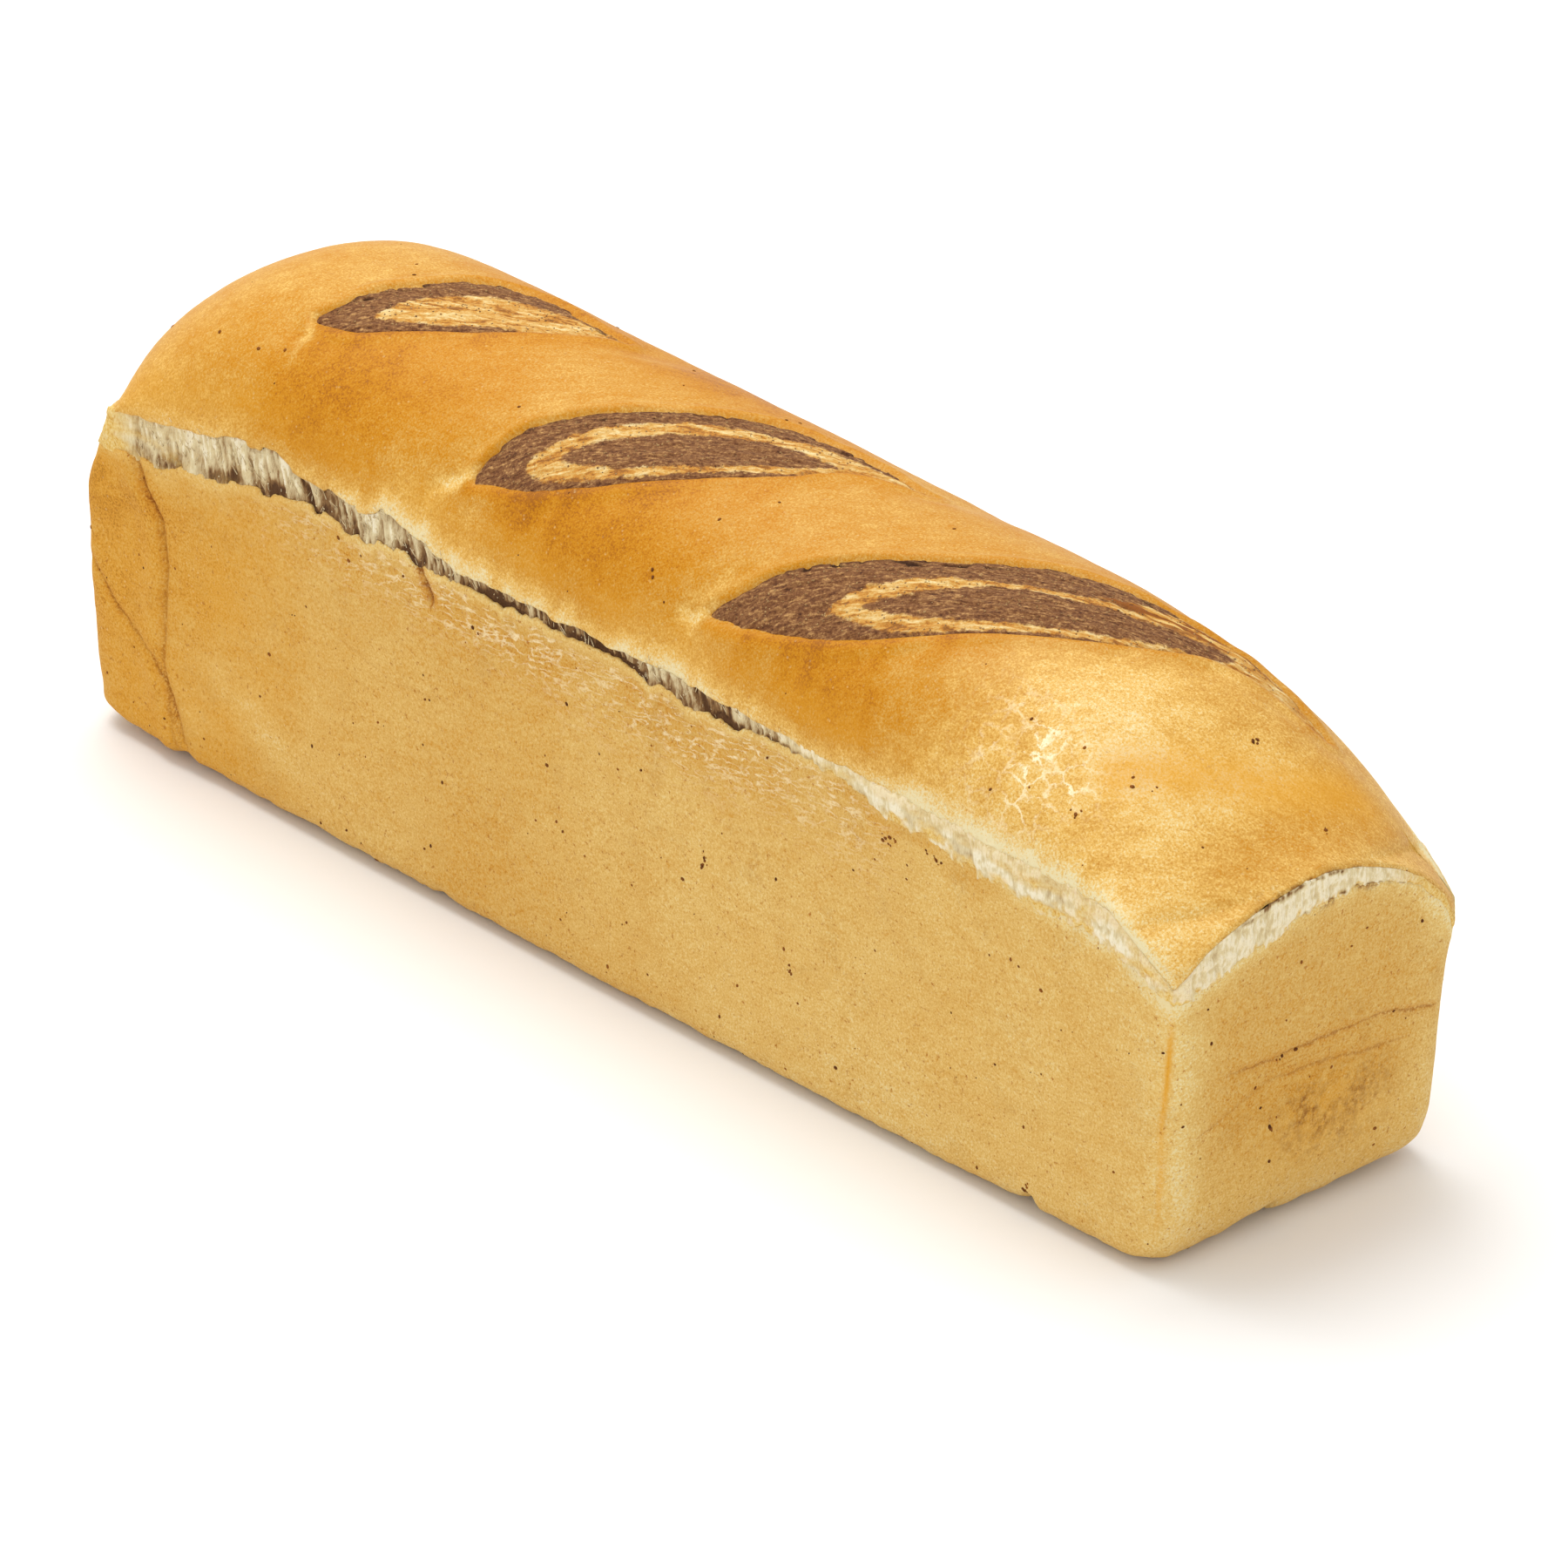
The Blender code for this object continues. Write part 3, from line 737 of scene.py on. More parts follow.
def dome_slash_distance(p):
    """Signed distance in plan to the nearest slash, positive inside, and the way across it."""
    best, side = np.full(p.shape[:-1], -60.0), np.zeros(p.shape[:-1])
    for slash in SLASHES:
        u, v = slash_place(p[..., 0], p[..., 1], slash)
        loop = smooth_loop(slash["open"])
        close = (u > -25) & (u < loop[:, 0].max() + 25) & (v > -45) & (v < 50)
        close &= p[..., 2] > 96
        distance = loop_distance(u[close], v[close], loop)
        nearer = distance > best[close]
        best[close] = np.where(nearer, distance, best[close])
        side[close] = np.where(nearer, v[close], side[close])
    return best, side


def dome_valley(p):
    """Shallow hollows that carry on past the tips of each slash."""
    hollow = np.zeros(p.shape[:-1])
    for slash, (before, beyond) in zip(SLASHES, ((16, 14), (16, 18), (20, 22))):
        u, v = slash_place(p[..., 0], p[..., 1], slash)
        length = np.hypot(*(np.array(slash["far"]) - np.array(slash["near"])))
        ahead = np.where(u < length / 2, -u / before, (u - length) / beyond)
        hollow += bell(v, 7.0) * bell(np.maximum(ahead, 0.0), 1.0) * step(-0.9, 0.0, ahead)
    return hollow


# creases that lead down the haunch from the near tip of each slash, in plan
TIP_CREASES = (((-136, -24), (-132.6, -28), (-132.8, -31), (-131.0, -38)),
               ((-59, -38.5), (-62, -41), (-65, -41.6), (-70, -43.6)),
               ((30, -41.2), (26, -43.2), (21, -43.4)))
# browner patches: most are deeper baking, but (-42, 22) and the three long ones along the far side at y 36 to 38
# are painted shade, darker towards the far silhouette where the dome turns from the light
DARK_AND_SHADED_PATCHES = ((-42, 22, 34, 16, 0.10), (189, -2, 7, 20, 0.07), (-30, -44, 24, 7, 0.06), (-118, -36, 34, 15, 0.26), (-86, -30, 24, 14, 0.10), (-16, -39, 36, 13, 0.26),
                (20, -22, 26, 12, 0.06), (78, -44, 26, 10, 0.22), (116, -38, 12, 9, 0.12),
                (-92, 22, 30, 10, 0.08), (-42, 18, 26, 13, 0.16), (58, 22, 26, 14, 0.05), (-72, -20, 14, 12, 0.08),
                (-110, 36, 38, 14, 0.20), (-20, 38, 44, 14, 0.22), (80, 38, 40, 14, 0.22),
                (-188, 10, 18, 22, 0.05))
# paler patches: the broad ones over the right shoulder, round (152, -20) and (158, -22), are partly paler crust
# and partly a painted highlight where the shoulder turns to the light; the others are paler crust
PALE_AND_HIGHLIT_PATCHES = ((-178, -36, 22, 18, 0.10), (-160, -6, 26, 20, 0.05), (152, -20, 36, 26, 0.26),
                 (176, 5, 11, 18, 0.18), (158, -22, 14, 10, 0.12), (147, 22, 12, 8, 0.20),
                 (-150, -43, 16, 9, 0.10), (190, -42, 14, 14, 0.26), (118, -42, 16, 9, 0.12), (60, 26, 40, 12, 0.05), (140, -44, 26, 8, 0.10),
                 (-10, -50, 60, 8, 0.10))
CREAM_NEAR = ((-203, 0.1), (-165, 0.16), (-128, 0.2), (-96, 0.36), (-40, 0.36), (60, 0.35),
              (150, 0.36), (186, 0.28), (203, 0.2))
CREAM_FAR = ((-203, 0.3), (-60, 0.5), (130, 0.45), (203, 0.3))


def dome_tone(p, above, inside, side):
    """How brown the dome is, 0 to 1: baked tone with painted shade along the far side and a partly painted
    highlight on the right shoulder; above is the way up from the torn edge.
    """
    x, y = p[..., 0], p[..., 1]
    tone = 0.52 + 0.06 * layered(p, 42.0, 81) + 0.04 * grain(p, 9.0, 84)
    # browner patches; the far-side ones are painted shade
    for px, py, length, width, amount in DARK_AND_SHADED_PATCHES:
        tone += amount * np.exp(-((x - px) / length) ** 2 - ((y - py) / width) ** 2)
    # paler patches; those on the right shoulder are partly a painted highlight
    for px, py, length, width, amount in PALE_AND_HIGHLIT_PATCHES:
        tone -= amount * np.exp(-((x - px) / length) ** 2 - ((y - py) / width) ** 2)
    # faint streaks run up the haunch, where the skin stretched
    tone += 0.05 * grain(p, (5.0, 60.0, 40.0), 85) * step(60, 10, above)
    # cream strip where the skin stretched last, just over the tear
    wave = 1.0 + 0.3 * grain(p, 30.0, 91)
    cream = round_the_loaf(x, y, CREAM_NEAR, ((-60, 0.06), (60, 0.06)), CREAM_FAR,
                           ((-60, 0.2), (60, 0.2)))
    cream = cream * (1.0 + 0.3 * grain(p, (5.0, 20.0, 20.0), 96))
    tone -= cream * (0.9 * bell(above / wave, 4.8) + 0.3 * bell(above, 12.0))
    # the lip of a slash caught the heat, most of all in the small pleats below it
    pleat = 0.6 + 0.8 * grain(p, (4.5, 30.0, 30.0), 92)
    tone += (0.08 + 0.08 * step(2, -4, side)) * bell(inside + 1.0, 1.2)
    tone += 0.17 * pleat * bell(inside + 3.5, 4.5) * step(2, -4, side)
    # pale stretched streaks run out from the tips
    tone -= 0.10 * dome_valley(p) * step(-1.0, -3.0, inside)
    for route in TIP_CREASES:
        crease = bell(line_distance(x, y, route) * (1.0 + 0.6 * grain(p, 3.0, 95)), 1.3)
        tone -= 0.34 * crease * step(-20.0, -1.0, inside) * step(0.5, -0.5, inside)
    return tone


def end_cracks(p, above):
    """Brown crumbling line along the dome's edge over the right end."""
    x, y = p[..., 0], p[..., 1]
    broken = step(-0.25, 0.2, grain(p, 2.4, 94)) * step(-26, -20, y) * step(16, 8, y)
    return broken * bell(above, 1.6) * (x > HALF_LENGTH - 25.0)


def dome_gold(p, above):
    """Where the dome is a clear yellow: a streak at the right shoulder, the stretched haunch."""
    x, y = p[..., 0], p[..., 1]
    streak = bell(line_distance(x, y, ((160, -26), (172, -8), (181, 10), (184, 26))), 7.0)
    ends = 0.2 * step(-130, -180, x)
    haunch = 0.24 * bell(above - 9.0, 7.0) * (1.0 + 0.6 * grain(p, 14.0, 93)) * step(130, 90, x)
    return np.clip(0.6 * streak + ends + haunch, 0.0, 1.0)


def dome_waves(p):
    """Slow unevenness that the crust and the faces of the slashes share."""
    creases = sum(bell(line_distance(p[..., 0], p[..., 1], route), 1.3) for route in TIP_CREASES)
    return slow_waves(p) - 1.2 * dome_valley(p) - 0.45 * creases * step(100, 106, p[..., 2])


def dome_relief(p, above, inside, side):
    """Height of the dome's skin above the plain loaf."""
    relief = dome_waves(p) + 0.08 * grain(p, 8.0, 103)
    relief += 0.035 * grain(p, 2.8, 104) + 0.02 * grain(p, 1.6, 105)
    # small pleats run out from the near lip of each slash
    relief += 0.35 * bell(inside + 4.5, 4.0) * step(2, -4, side) * grain(p, (4.5, 30.0, 30.0), 92)
    lip = LIP * (1.0 + 0.5 * grain(p, 7.0, 107)) * step(-12.0, -2.0, inside)
    relief += lip * bell(inside + 1.9, 1.8) - RECESS * step(-0.9, 1.2, inside)
    rolled = (p[..., 1] < 0) * step(50, 90, p[..., 0]) * step(185, 165, p[..., 0])
    relief += 0.55 * bell(above, 4.0) * step(200, 186, np.abs(p[..., 0])) * (1 - rolled)
    return relief


DOME_ALONG, DOME_ACROSS, DOME_RISE = 560, 100, 28
BOX_HEIGHT = 128.0


def dome_points():
    """Top grid and side strips of the dome, as one set of points with shared borders."""
    gx = np.linspace(-HALF_LENGTH, HALF_LENGTH, DOME_ALONG + 1)
    gy = np.linspace(-HALF_WIDTH, HALF_WIDTH, DOME_ACROSS + 1)
    tx, ty = np.meshgrid(gx, gy, indexing="ij")
    outer = np.stack([tx, ty, np.full_like(tx, BOX_HEIGHT)], -1)
    inner = np.stack([np.clip(tx, -INNER_LENGTH, INNER_LENGTH),
                      np.clip(ty, -INNER_WIDTH, INNER_WIDTH), np.full_like(tx, 70.0)], -1)
    top = cast(inner, outer)
    number = np.arange(tx.size).reshape(tx.shape)
    ring = np.concatenate([number[:-1, 0], number[-1, :-1], number[:0:-1, -1], number[0, :0:-1]])
    x, y = tx.ravel()[ring], ty.ravel()[ring]
    edge = torn_high(x, y)
    t = (np.arange(DOME_RISE) / DOME_RISE)[:, None] ** 1.25
    z = edge + t * (BOX_HEIGHT - edge)
    sx, sy, sz = np.broadcast_arrays(x, y, z)
    low = np.stack([np.clip(sx, -INNER_LENGTH, INNER_LENGTH), np.clip(sy, -INNER_WIDTH, INNER_WIDTH),
                    edge * (1 - t) + 70.0 * t], -1)
    side = cast(low, np.stack([sx, sy, sz], -1))
    return top, side, number, ring, edge


def outline_place(x, y):
    """Place on the outer rectangle straight out from the inner box through (x, y)."""
    inner_x, inner_y = np.clip(x, -INNER_LENGTH, INNER_LENGTH), np.clip(y, -INNER_WIDTH, INNER_WIDTH)
    dx, dy = x - inner_x, y - inner_y
    reach = np.minimum((HALF_LENGTH - np.abs(inner_x)) / np.maximum(np.abs(dx), 1e-6),
                       (HALF_WIDTH - np.abs(inner_y)) / np.maximum(np.abs(dy), 1e-6))
    reach = np.minimum(reach, 1e4)
    return inner_x + dx * reach, inner_y + dy * reach


def build_dome():
    top, side, number, ring, edge = dome_points()
    columns = len(ring)
    plain = np.concatenate([top.reshape(-1, 3), side.reshape(-1, 3)])
    edge_of = torn_high(*outline_place(plain[:, 0], plain[:, 1]))
    edge_of[top.reshape(-1, 3).shape[0]:] = np.broadcast_to(edge, side.shape[:2]).ravel()
    inside, side_of = dome_slash_distance(plain)
    normal = outward(plain)
    steep = np.sqrt(np.maximum(1.0 - normal[:, 2] ** 2, 0.03))
    above = np.maximum(plain[:, 2] - edge_of, 0.0) / steep
    skin = plain + normal * dome_relief(plain, above, inside, side_of)[:, None]
    tone = dome_tone(plain, above, inside, side_of)
    side_number = len(number.ravel()) + np.arange(side.shape[0] * columns).reshape(-1, columns)
    lip, inward = skin[side_number[0]], normal[side_number[0]] * (1, 1, 0)
    turned = [lip - inward * 0.5 - (0, 0, 0.3), lip - inward * 1.4 - (0, 0, 0.1),
              lip - inward * 3.5 + (0, 0, 1.0), lip * (0.92, 0.8, 1.0) + (0, 0, 1.5)]
    points = np.concatenate([skin] + turned)
    turned_number = len(skin) + np.arange(len(turned) * columns).reshape(-1, columns)
    strip = np.concatenate([turned_number[::-1], side_number, number.ravel()[ring][None]])
    across = np.stack([number[:-1, :-1], number[1:, :-1], number[1:, 1:], number[:-1, 1:]], -1)
    around = np.stack([strip[:-1], np.roll(strip[:-1], -1, 1), np.roll(strip[1:], -1, 1),
                       strip[1:]], -1)
    quads = np.concatenate([across.reshape(-1, 4), around.reshape(-1, 4)])
    crackle = bell(np.hypot((plain[:, 0] - 141) / 15.0, (plain[:, 1] + 36) / 10.0), 1.0)
    crackle = np.clip(crackle * (1.1 + grain(plain, 7.0, 111)), 0, 1)
    stain = end_cracks(plain, above)

    def spread(values):
        return np.concatenate([values] + [values[side_number[0]]] * len(turned))

    shown = np.concatenate([step(0.5, -0.5, inside), np.zeros(len(turned) * columns)])
    attributes = {"bake": spread(tone), "net": spread(crackle), "stain": spread(stain),
                  "gold": spread(dome_gold(plain, above)), "open": shown}
    return make_piece("dome_crust", points, quads, [turned_number[-1]], attributes,
                      top_crust)


# brushed and baked in open heat: smooth skin with a satin shine and a deeper gold
top_crust = crust_material("glazed_top_crust", ((0.0, "dfd1a4"), (0.16, "ddbf7c"), (0.30, "d8ab56"),
                                                (0.44, "c79745"), (0.56, "c08932"), (0.70, "be7e08"),
                                                (0.84, "b37000"), (1.0, "985a08")),
                           0.5, 0.2, 7.0, 1.05, 0.4, False)
dome = build_dome()

# ---------------------------------------------------------------------------------------
# Slash faces. Three slanting cuts opened in the oven and show the marbled crumb: a brown
# dough rolled up with a pale one, torn into fine fibres that run along the cut.
# ---------------------------------------------------------------------------------------
SLASH_CELL = 0.45
SLASH_MARGIN = 2.6               # the face runs on this far under the crust's lip
SLASH_THICK = 2.2


def marbled_material():
    """Marbled crumb: cocoa-brown and cream dough, dry and open, so quite without shine.

    Fine fibres a few millimetres long run along the cut and catch the light.
    """
    material, tree, shader = new_material("marbled_crumb")
    place = add(tree, "ShaderNodeTexCoord").outputs["Object"]
    value = {key: add(tree, "ShaderNodeAttribute", attribute_name=key).outputs["Fac"]
             for key in ("along", "across", "pale", "core", "pit", "toast")}
    local = add(tree, "ShaderNodeCombineXYZ", {"X": value["along"], "Y": value["across"]})
    fibre = add(tree, "ShaderNodeMapping", {"Vector": local.outputs[0], "Scale": (0.32, 1.5, 1.0)})
    fibre = add(tree, "ShaderNodeTexNoise", {"Vector": fibre.outputs[0], "Scale": 1.0,
                                             "Detail": 4.0, "Roughness": 0.7, "Distortion": 0.6})
    fine = add(tree, "ShaderNodeTexNoise", {"Vector": place, "Scale": per_mm(0.9),
                                            "Detail": 3.0, "Roughness": 0.7})
    wander = add(tree, "ShaderNodeTexNoise", {"Vector": place, "Scale": per_mm(2.2),
                                              "Detail": 4.0, "Roughness": 0.7})
    wander = add(tree, "ShaderNodeMath", {0: wander.outputs["Fac"], 1: 0.5},
                 operation="SUBTRACT").outputs[0]
    masks = []
    for key in ("pale", "core"):
        moved = add(tree, "ShaderNodeMath", {0: wander, 1: 3.6, 2: value[key]},
                    operation="MULTIPLY_ADD")
        masks.append(add(tree, "ShaderNodeMapRange", {"Value": moved.outputs[0],
                                                      "From Min": -0.35, "From Max": 0.35}).outputs[0])
    grainy = add(tree, "ShaderNodeMix", {"Factor": 0.4, 2: fibre.outputs["Fac"],
                                         3: fine.outputs["Fac"]})
    brown = add_ramp(tree, grainy.outputs[0], ((0.36, "412311"), (0.45, "6c4224"),
                                               (0.53, "865b35"), (0.63, "bc8f58")))
    # the pale dough is golden where it dried and cream where it was pulled, in long streaks
    pulled = add(tree, "ShaderNodeMapping", {"Vector": local.outputs[0], "Scale": (0.09, 0.42, 1.0)})
    pulled = add(tree, "ShaderNodeTexNoise", {"Vector": pulled.outputs[0], "Scale": 1.0,
                                              "Detail": 3.0, "Distortion": 0.8})
    pulled = add(tree, "ShaderNodeMath", {0: pulled.outputs["Fac"], 1: 0.9, 2: -0.45},
                 operation="MULTIPLY_ADD")
    patch = add(tree, "ShaderNodeMath", {0: grainy.outputs[0], 1: pulled.outputs[0]},
                operation="ADD")
    speck = add_ramp(tree, patch.outputs[0], ((0.34, "8f5c28"), (0.43, "bd7f31"), (0.52, "c9994c"),
                                              (0.61, "d6b270"), (0.72, "e2cc96")))
    ground = add(tree, "ShaderNodeMix", {"Factor": masks[0], 6: brown, 7: speck},
                 data_type="RGBA").outputs[2]
    ground = add(tree, "ShaderNodeMix", {"Factor": masks[1], 6: ground, 7: brown},
                 data_type="RGBA").outputs[2]
    scorch = add_ramp(tree, pulled.outputs[0], ((0.0, "8a4f18"), (0.05, "c58a37"), (0.12, "dab873")))
    ground = add(tree, "ShaderNodeMix", {"Factor": value["toast"], 6: ground, 7: scorch},
                 data_type="RGBA").outputs[2]
    # near-black pits, partly painted shade, and a painted shadow line along the far edge under the crust's lip
    ground = add(tree, "ShaderNodeMix", {"Factor": value["pit"], 6: ground, 7: linear("341b0a")},
                 data_type="RGBA").outputs[2]
    height = add(tree, "ShaderNodeMath", {0: fibre.outputs["Fac"], 1: fine.outputs["Fac"]},
                 operation="ADD")
    bump = add(tree, "ShaderNodeBump", {"Height": height.outputs[0], "Strength": 0.7,
                                        "Distance": 0.6 * MM})
    tree.links.new(ground, shader.inputs["Base Color"])
    tree.links.new(bump.outputs[0], shader.inputs["Normal"])
    shader.inputs["Roughness"].default_value = 0.9
    shader.inputs["Specular IOR Level"].default_value = 0.25
    return material


def slab_faces(kept):
    """Top, under and rim faces for the kept cells of a grid of corners."""
    nu, nv = kept.shape[0] + 1, kept.shape[1] + 1
    number = np.arange(nu * nv).reshape(nu, nv)
    corners = np.stack([number[:-1, :-1], number[1:, :-1], number[1:, 1:], number[:-1, 1:]], -1)
    top = corners[kept]
    under = top[:, ::-1] + nu * nv
    padded = np.pad(kept, 1)
    rims = []
    for (di, dj), (a, b) in (((-1, 0), (3, 0)), ((1, 0), (1, 2)), ((0, -1), (0, 1)), ((0, 1), (2, 3))):
        beside = padded[1 + di:padded.shape[0] - 1 + di, 1 + dj:padded.shape[1] - 1 + dj]
        cells = corners[kept & ~beside]
        rims.append(np.stack([cells[:, b], cells[:, a], cells[:, a] + nu * nv,
                              cells[:, b] + nu * nv], -1))
    return np.concatenate([top, under] + rims)


def build_slash(index, slash):
    loop, pale, core = (smooth_loop(slash[key]) if slash[key] else () for key in
                        ("open", "pale", "core"))
    reach = SLASH_MARGIN + SLASH_CELL
    u = np.arange(loop[:, 0].min() - reach, loop[:, 0].max() + reach, SLASH_CELL)
    v = np.arange(loop[:, 1].min() - reach, loop[:, 1].max() + reach, SLASH_CELL)
    u, v = np.meshgrid(u, v, indexing="ij")
    inside = loop_distance(u, v, loop)
    near, along, across = slash_frame(slash)
    x = near[0] + along[0] * u + across[0] * v
    y = near[1] + along[1] * u + across[1] * v
    plain = cast(np.stack([x, y, np.full_like(x, 60.0)], -1),
                 np.stack([x, y, np.full_like(x, 110.0)], -1))
    normal = outward(plain)
    local = np.stack([u, v, np.full_like(u, 40.0 * index)], -1)
    fibres = 0.30 * grain(local, (5.0, 1.1, 1.0), 121) + 0.16 * grain(local, (2.4, 0.7, 1.0), 122)
    lumps = 0.35 * grain(local, (16.0, 7.0, 1.0), 123) + 0.14 * grain(local, 1.4, 124)
    pits = step(0.45, 0.7, grain(local, (3.2, 1.5, 1.0), 125)) * bell(inside - 2.2, 2.0) * (v > 4)
    height = dome_waves(plain) + 0.15 + fibres + lumps - 0.9 * pits - 0.9 * step(1.4, -1.4, inside)
    height -= 0.6 * bell(inside - 1.0, 2.4) * step(0.0, 6.0, v)
    # the far side of the last cut dried out and toasted where it runs over the shoulder
    toast = np.zeros_like(u)
    if slash["toast"]:
        width = 0.8 + 3.8 * step(96.0, 118.0, u)
        toast = step(94.0, 100.0, u) * step(1.2, 0.8, line_distance(u, v, slash["toast"]) / width)
    height += 0.3 * toast
    face = plain + normal * height[..., None]
    under = plain + normal * (height - SLASH_THICK)[..., None]
    cell_inside = 0.25 * (inside[:-1, :-1] + inside[1:, :-1] + inside[1:, 1:] + inside[:-1, 1:])
    quads = slab_faces(cell_inside > -SLASH_MARGIN)
    points = np.concatenate([face.reshape(-1, 3), under.reshape(-1, 3)])
    used, quads = np.unique(quads, return_inverse=True)
    quads = quads.reshape(-1, 4)
    # near black in the small hollows by the far edge, partly charred crumb and partly painted shade in them, and a
    # painted shadow line just inside the far edge where the crust's lip overhangs
    values = {"along": u + 60.0 * index, "across": v, "pale": loop_distance(u, v, pale),
              "core": loop_distance(u, v, core), "toast": toast,
              "pit": pits + 0.5 * bell(inside - 0.3, 0.8) * step(0.0, 6.0, v)}
    attributes = {key: np.tile(value.ravel(), 2)[used] for key, value in values.items()}
    shown = step(0.3, 1.0, inside).ravel()
    attributes["open"] = np.concatenate([shown, 0 * shown])[used]
    return make_piece(f"slash_face_{index + 1}", points[used], quads, [], attributes,
                      marbled_crumb)


marbled_crumb = marbled_material()
slash_faces = [build_slash(index, slash) for index, slash in enumerate(SLASHES)]

# ---------------------------------------------------------------------------------------
# Torn band. When the dome lifted, the dough tore all round just under it. Pale, stretched
# strands of crumb cross the gap at the left, brown crumb shows in the middle, and at the
# right the tear is a soft, floury roll.
# ---------------------------------------------------------------------------------------
WHITE_NEAR = ((-201, 0.7), (-180, 0.82), (-137, 0.76), (-128, 0.64), (-110, 0.66), (-100, 0.56),
              (-90, 0.64), (-82, 0.56), (-75, 0.32), (-60, 0.26), (36, 0.26), (52, 0.5), (66, 0.72),
              (90, 0.92), (203, 0.94))
WHITE_FAR = ((-201, 0.9), (-120, 0.8), (-60, 0.35), (20, 0.2), (70, 0.4), (120, 0.9), (203, 1.0))
ROLL_NEAR = ((-201, 0.8), (-170, 0.4), (-146, 0.15), (-130, 0.0), (50, 0.0), (80, 0.7),
             (100, 0.95), (203, 1.0))
ROLL_FAR = ((-201, 1.0), (-130, 0.3), (90, 0.2), (140, 1.0), (203, 1.0))
ALL = ((-60, 1.0), (60, 1.0))
BAND_ROWS = 44


def torn_material():
    """Torn crumb: stretched gluten strands, floury white over moist brown, no shine."""
    material, tree, shader = new_material("torn_crumb")
    place = add(tree, "ShaderNodeTexCoord").outputs["Object"]
    white = add(tree, "ShaderNodeAttribute", attribute_name="white").outputs["Fac"]
    skin = add(tree, "ShaderNodeAttribute", attribute_name="skin").outputs["Fac"]
    strand = add(tree, "ShaderNodeMapping", {"Vector": place, "Scale": (1.0, 1.0, 0.25)})
    strand = add(tree, "ShaderNodeTexNoise", {"Vector": strand.outputs[0], "Scale": per_mm(0.8),
                                              "Detail": 3.0, "Roughness": 0.7})
    fine = add(tree, "ShaderNodeTexNoise", {"Vector": place, "Scale": per_mm(0.7), "Detail": 2.0})
    loose = add(tree, "ShaderNodeMath", {0: strand.outputs["Fac"], 1: 0.5}, operation="SUBTRACT")
    loose = add(tree, "ShaderNodeMath", {0: loose.outputs[0], 1: 0.9, 2: white},
                operation="MULTIPLY_ADD")
    crumb = add_ramp(tree, loose.outputs[0], ((0.05, "553820"), (0.28, "84613b"), (0.45, "a98e65"),
                                              (0.62, "c6b188"), (0.85, "d9c99f"), (1.0, "eadfc2")))
    crust = add_ramp(tree, fine.outputs["Fac"], ((0.3, "c6933f"), (0.45, "d8b260"), (0.7, "e4cb8c")))
    colour = add(tree, "ShaderNodeMix", {"Factor": skin, 6: crumb, 7: crust},
                 data_type="RGBA").outputs[2]
    height = add(tree, "ShaderNodeMath", {0: strand.outputs["Fac"], 1: fine.outputs["Fac"]},
                 operation="ADD")
    bump = add(tree, "ShaderNodeBump", {"Height": height.outputs[0], "Strength": 0.6,
                                        "Distance": 0.6 * MM})
    tree.links.new(colour, shader.inputs["Base Color"])
    tree.links.new(bump.outputs[0], shader.inputs["Normal"])
    shader.inputs["Roughness"].default_value = 0.92
    shader.inputs["Specular IOR Level"].default_value = 0.2
    return material


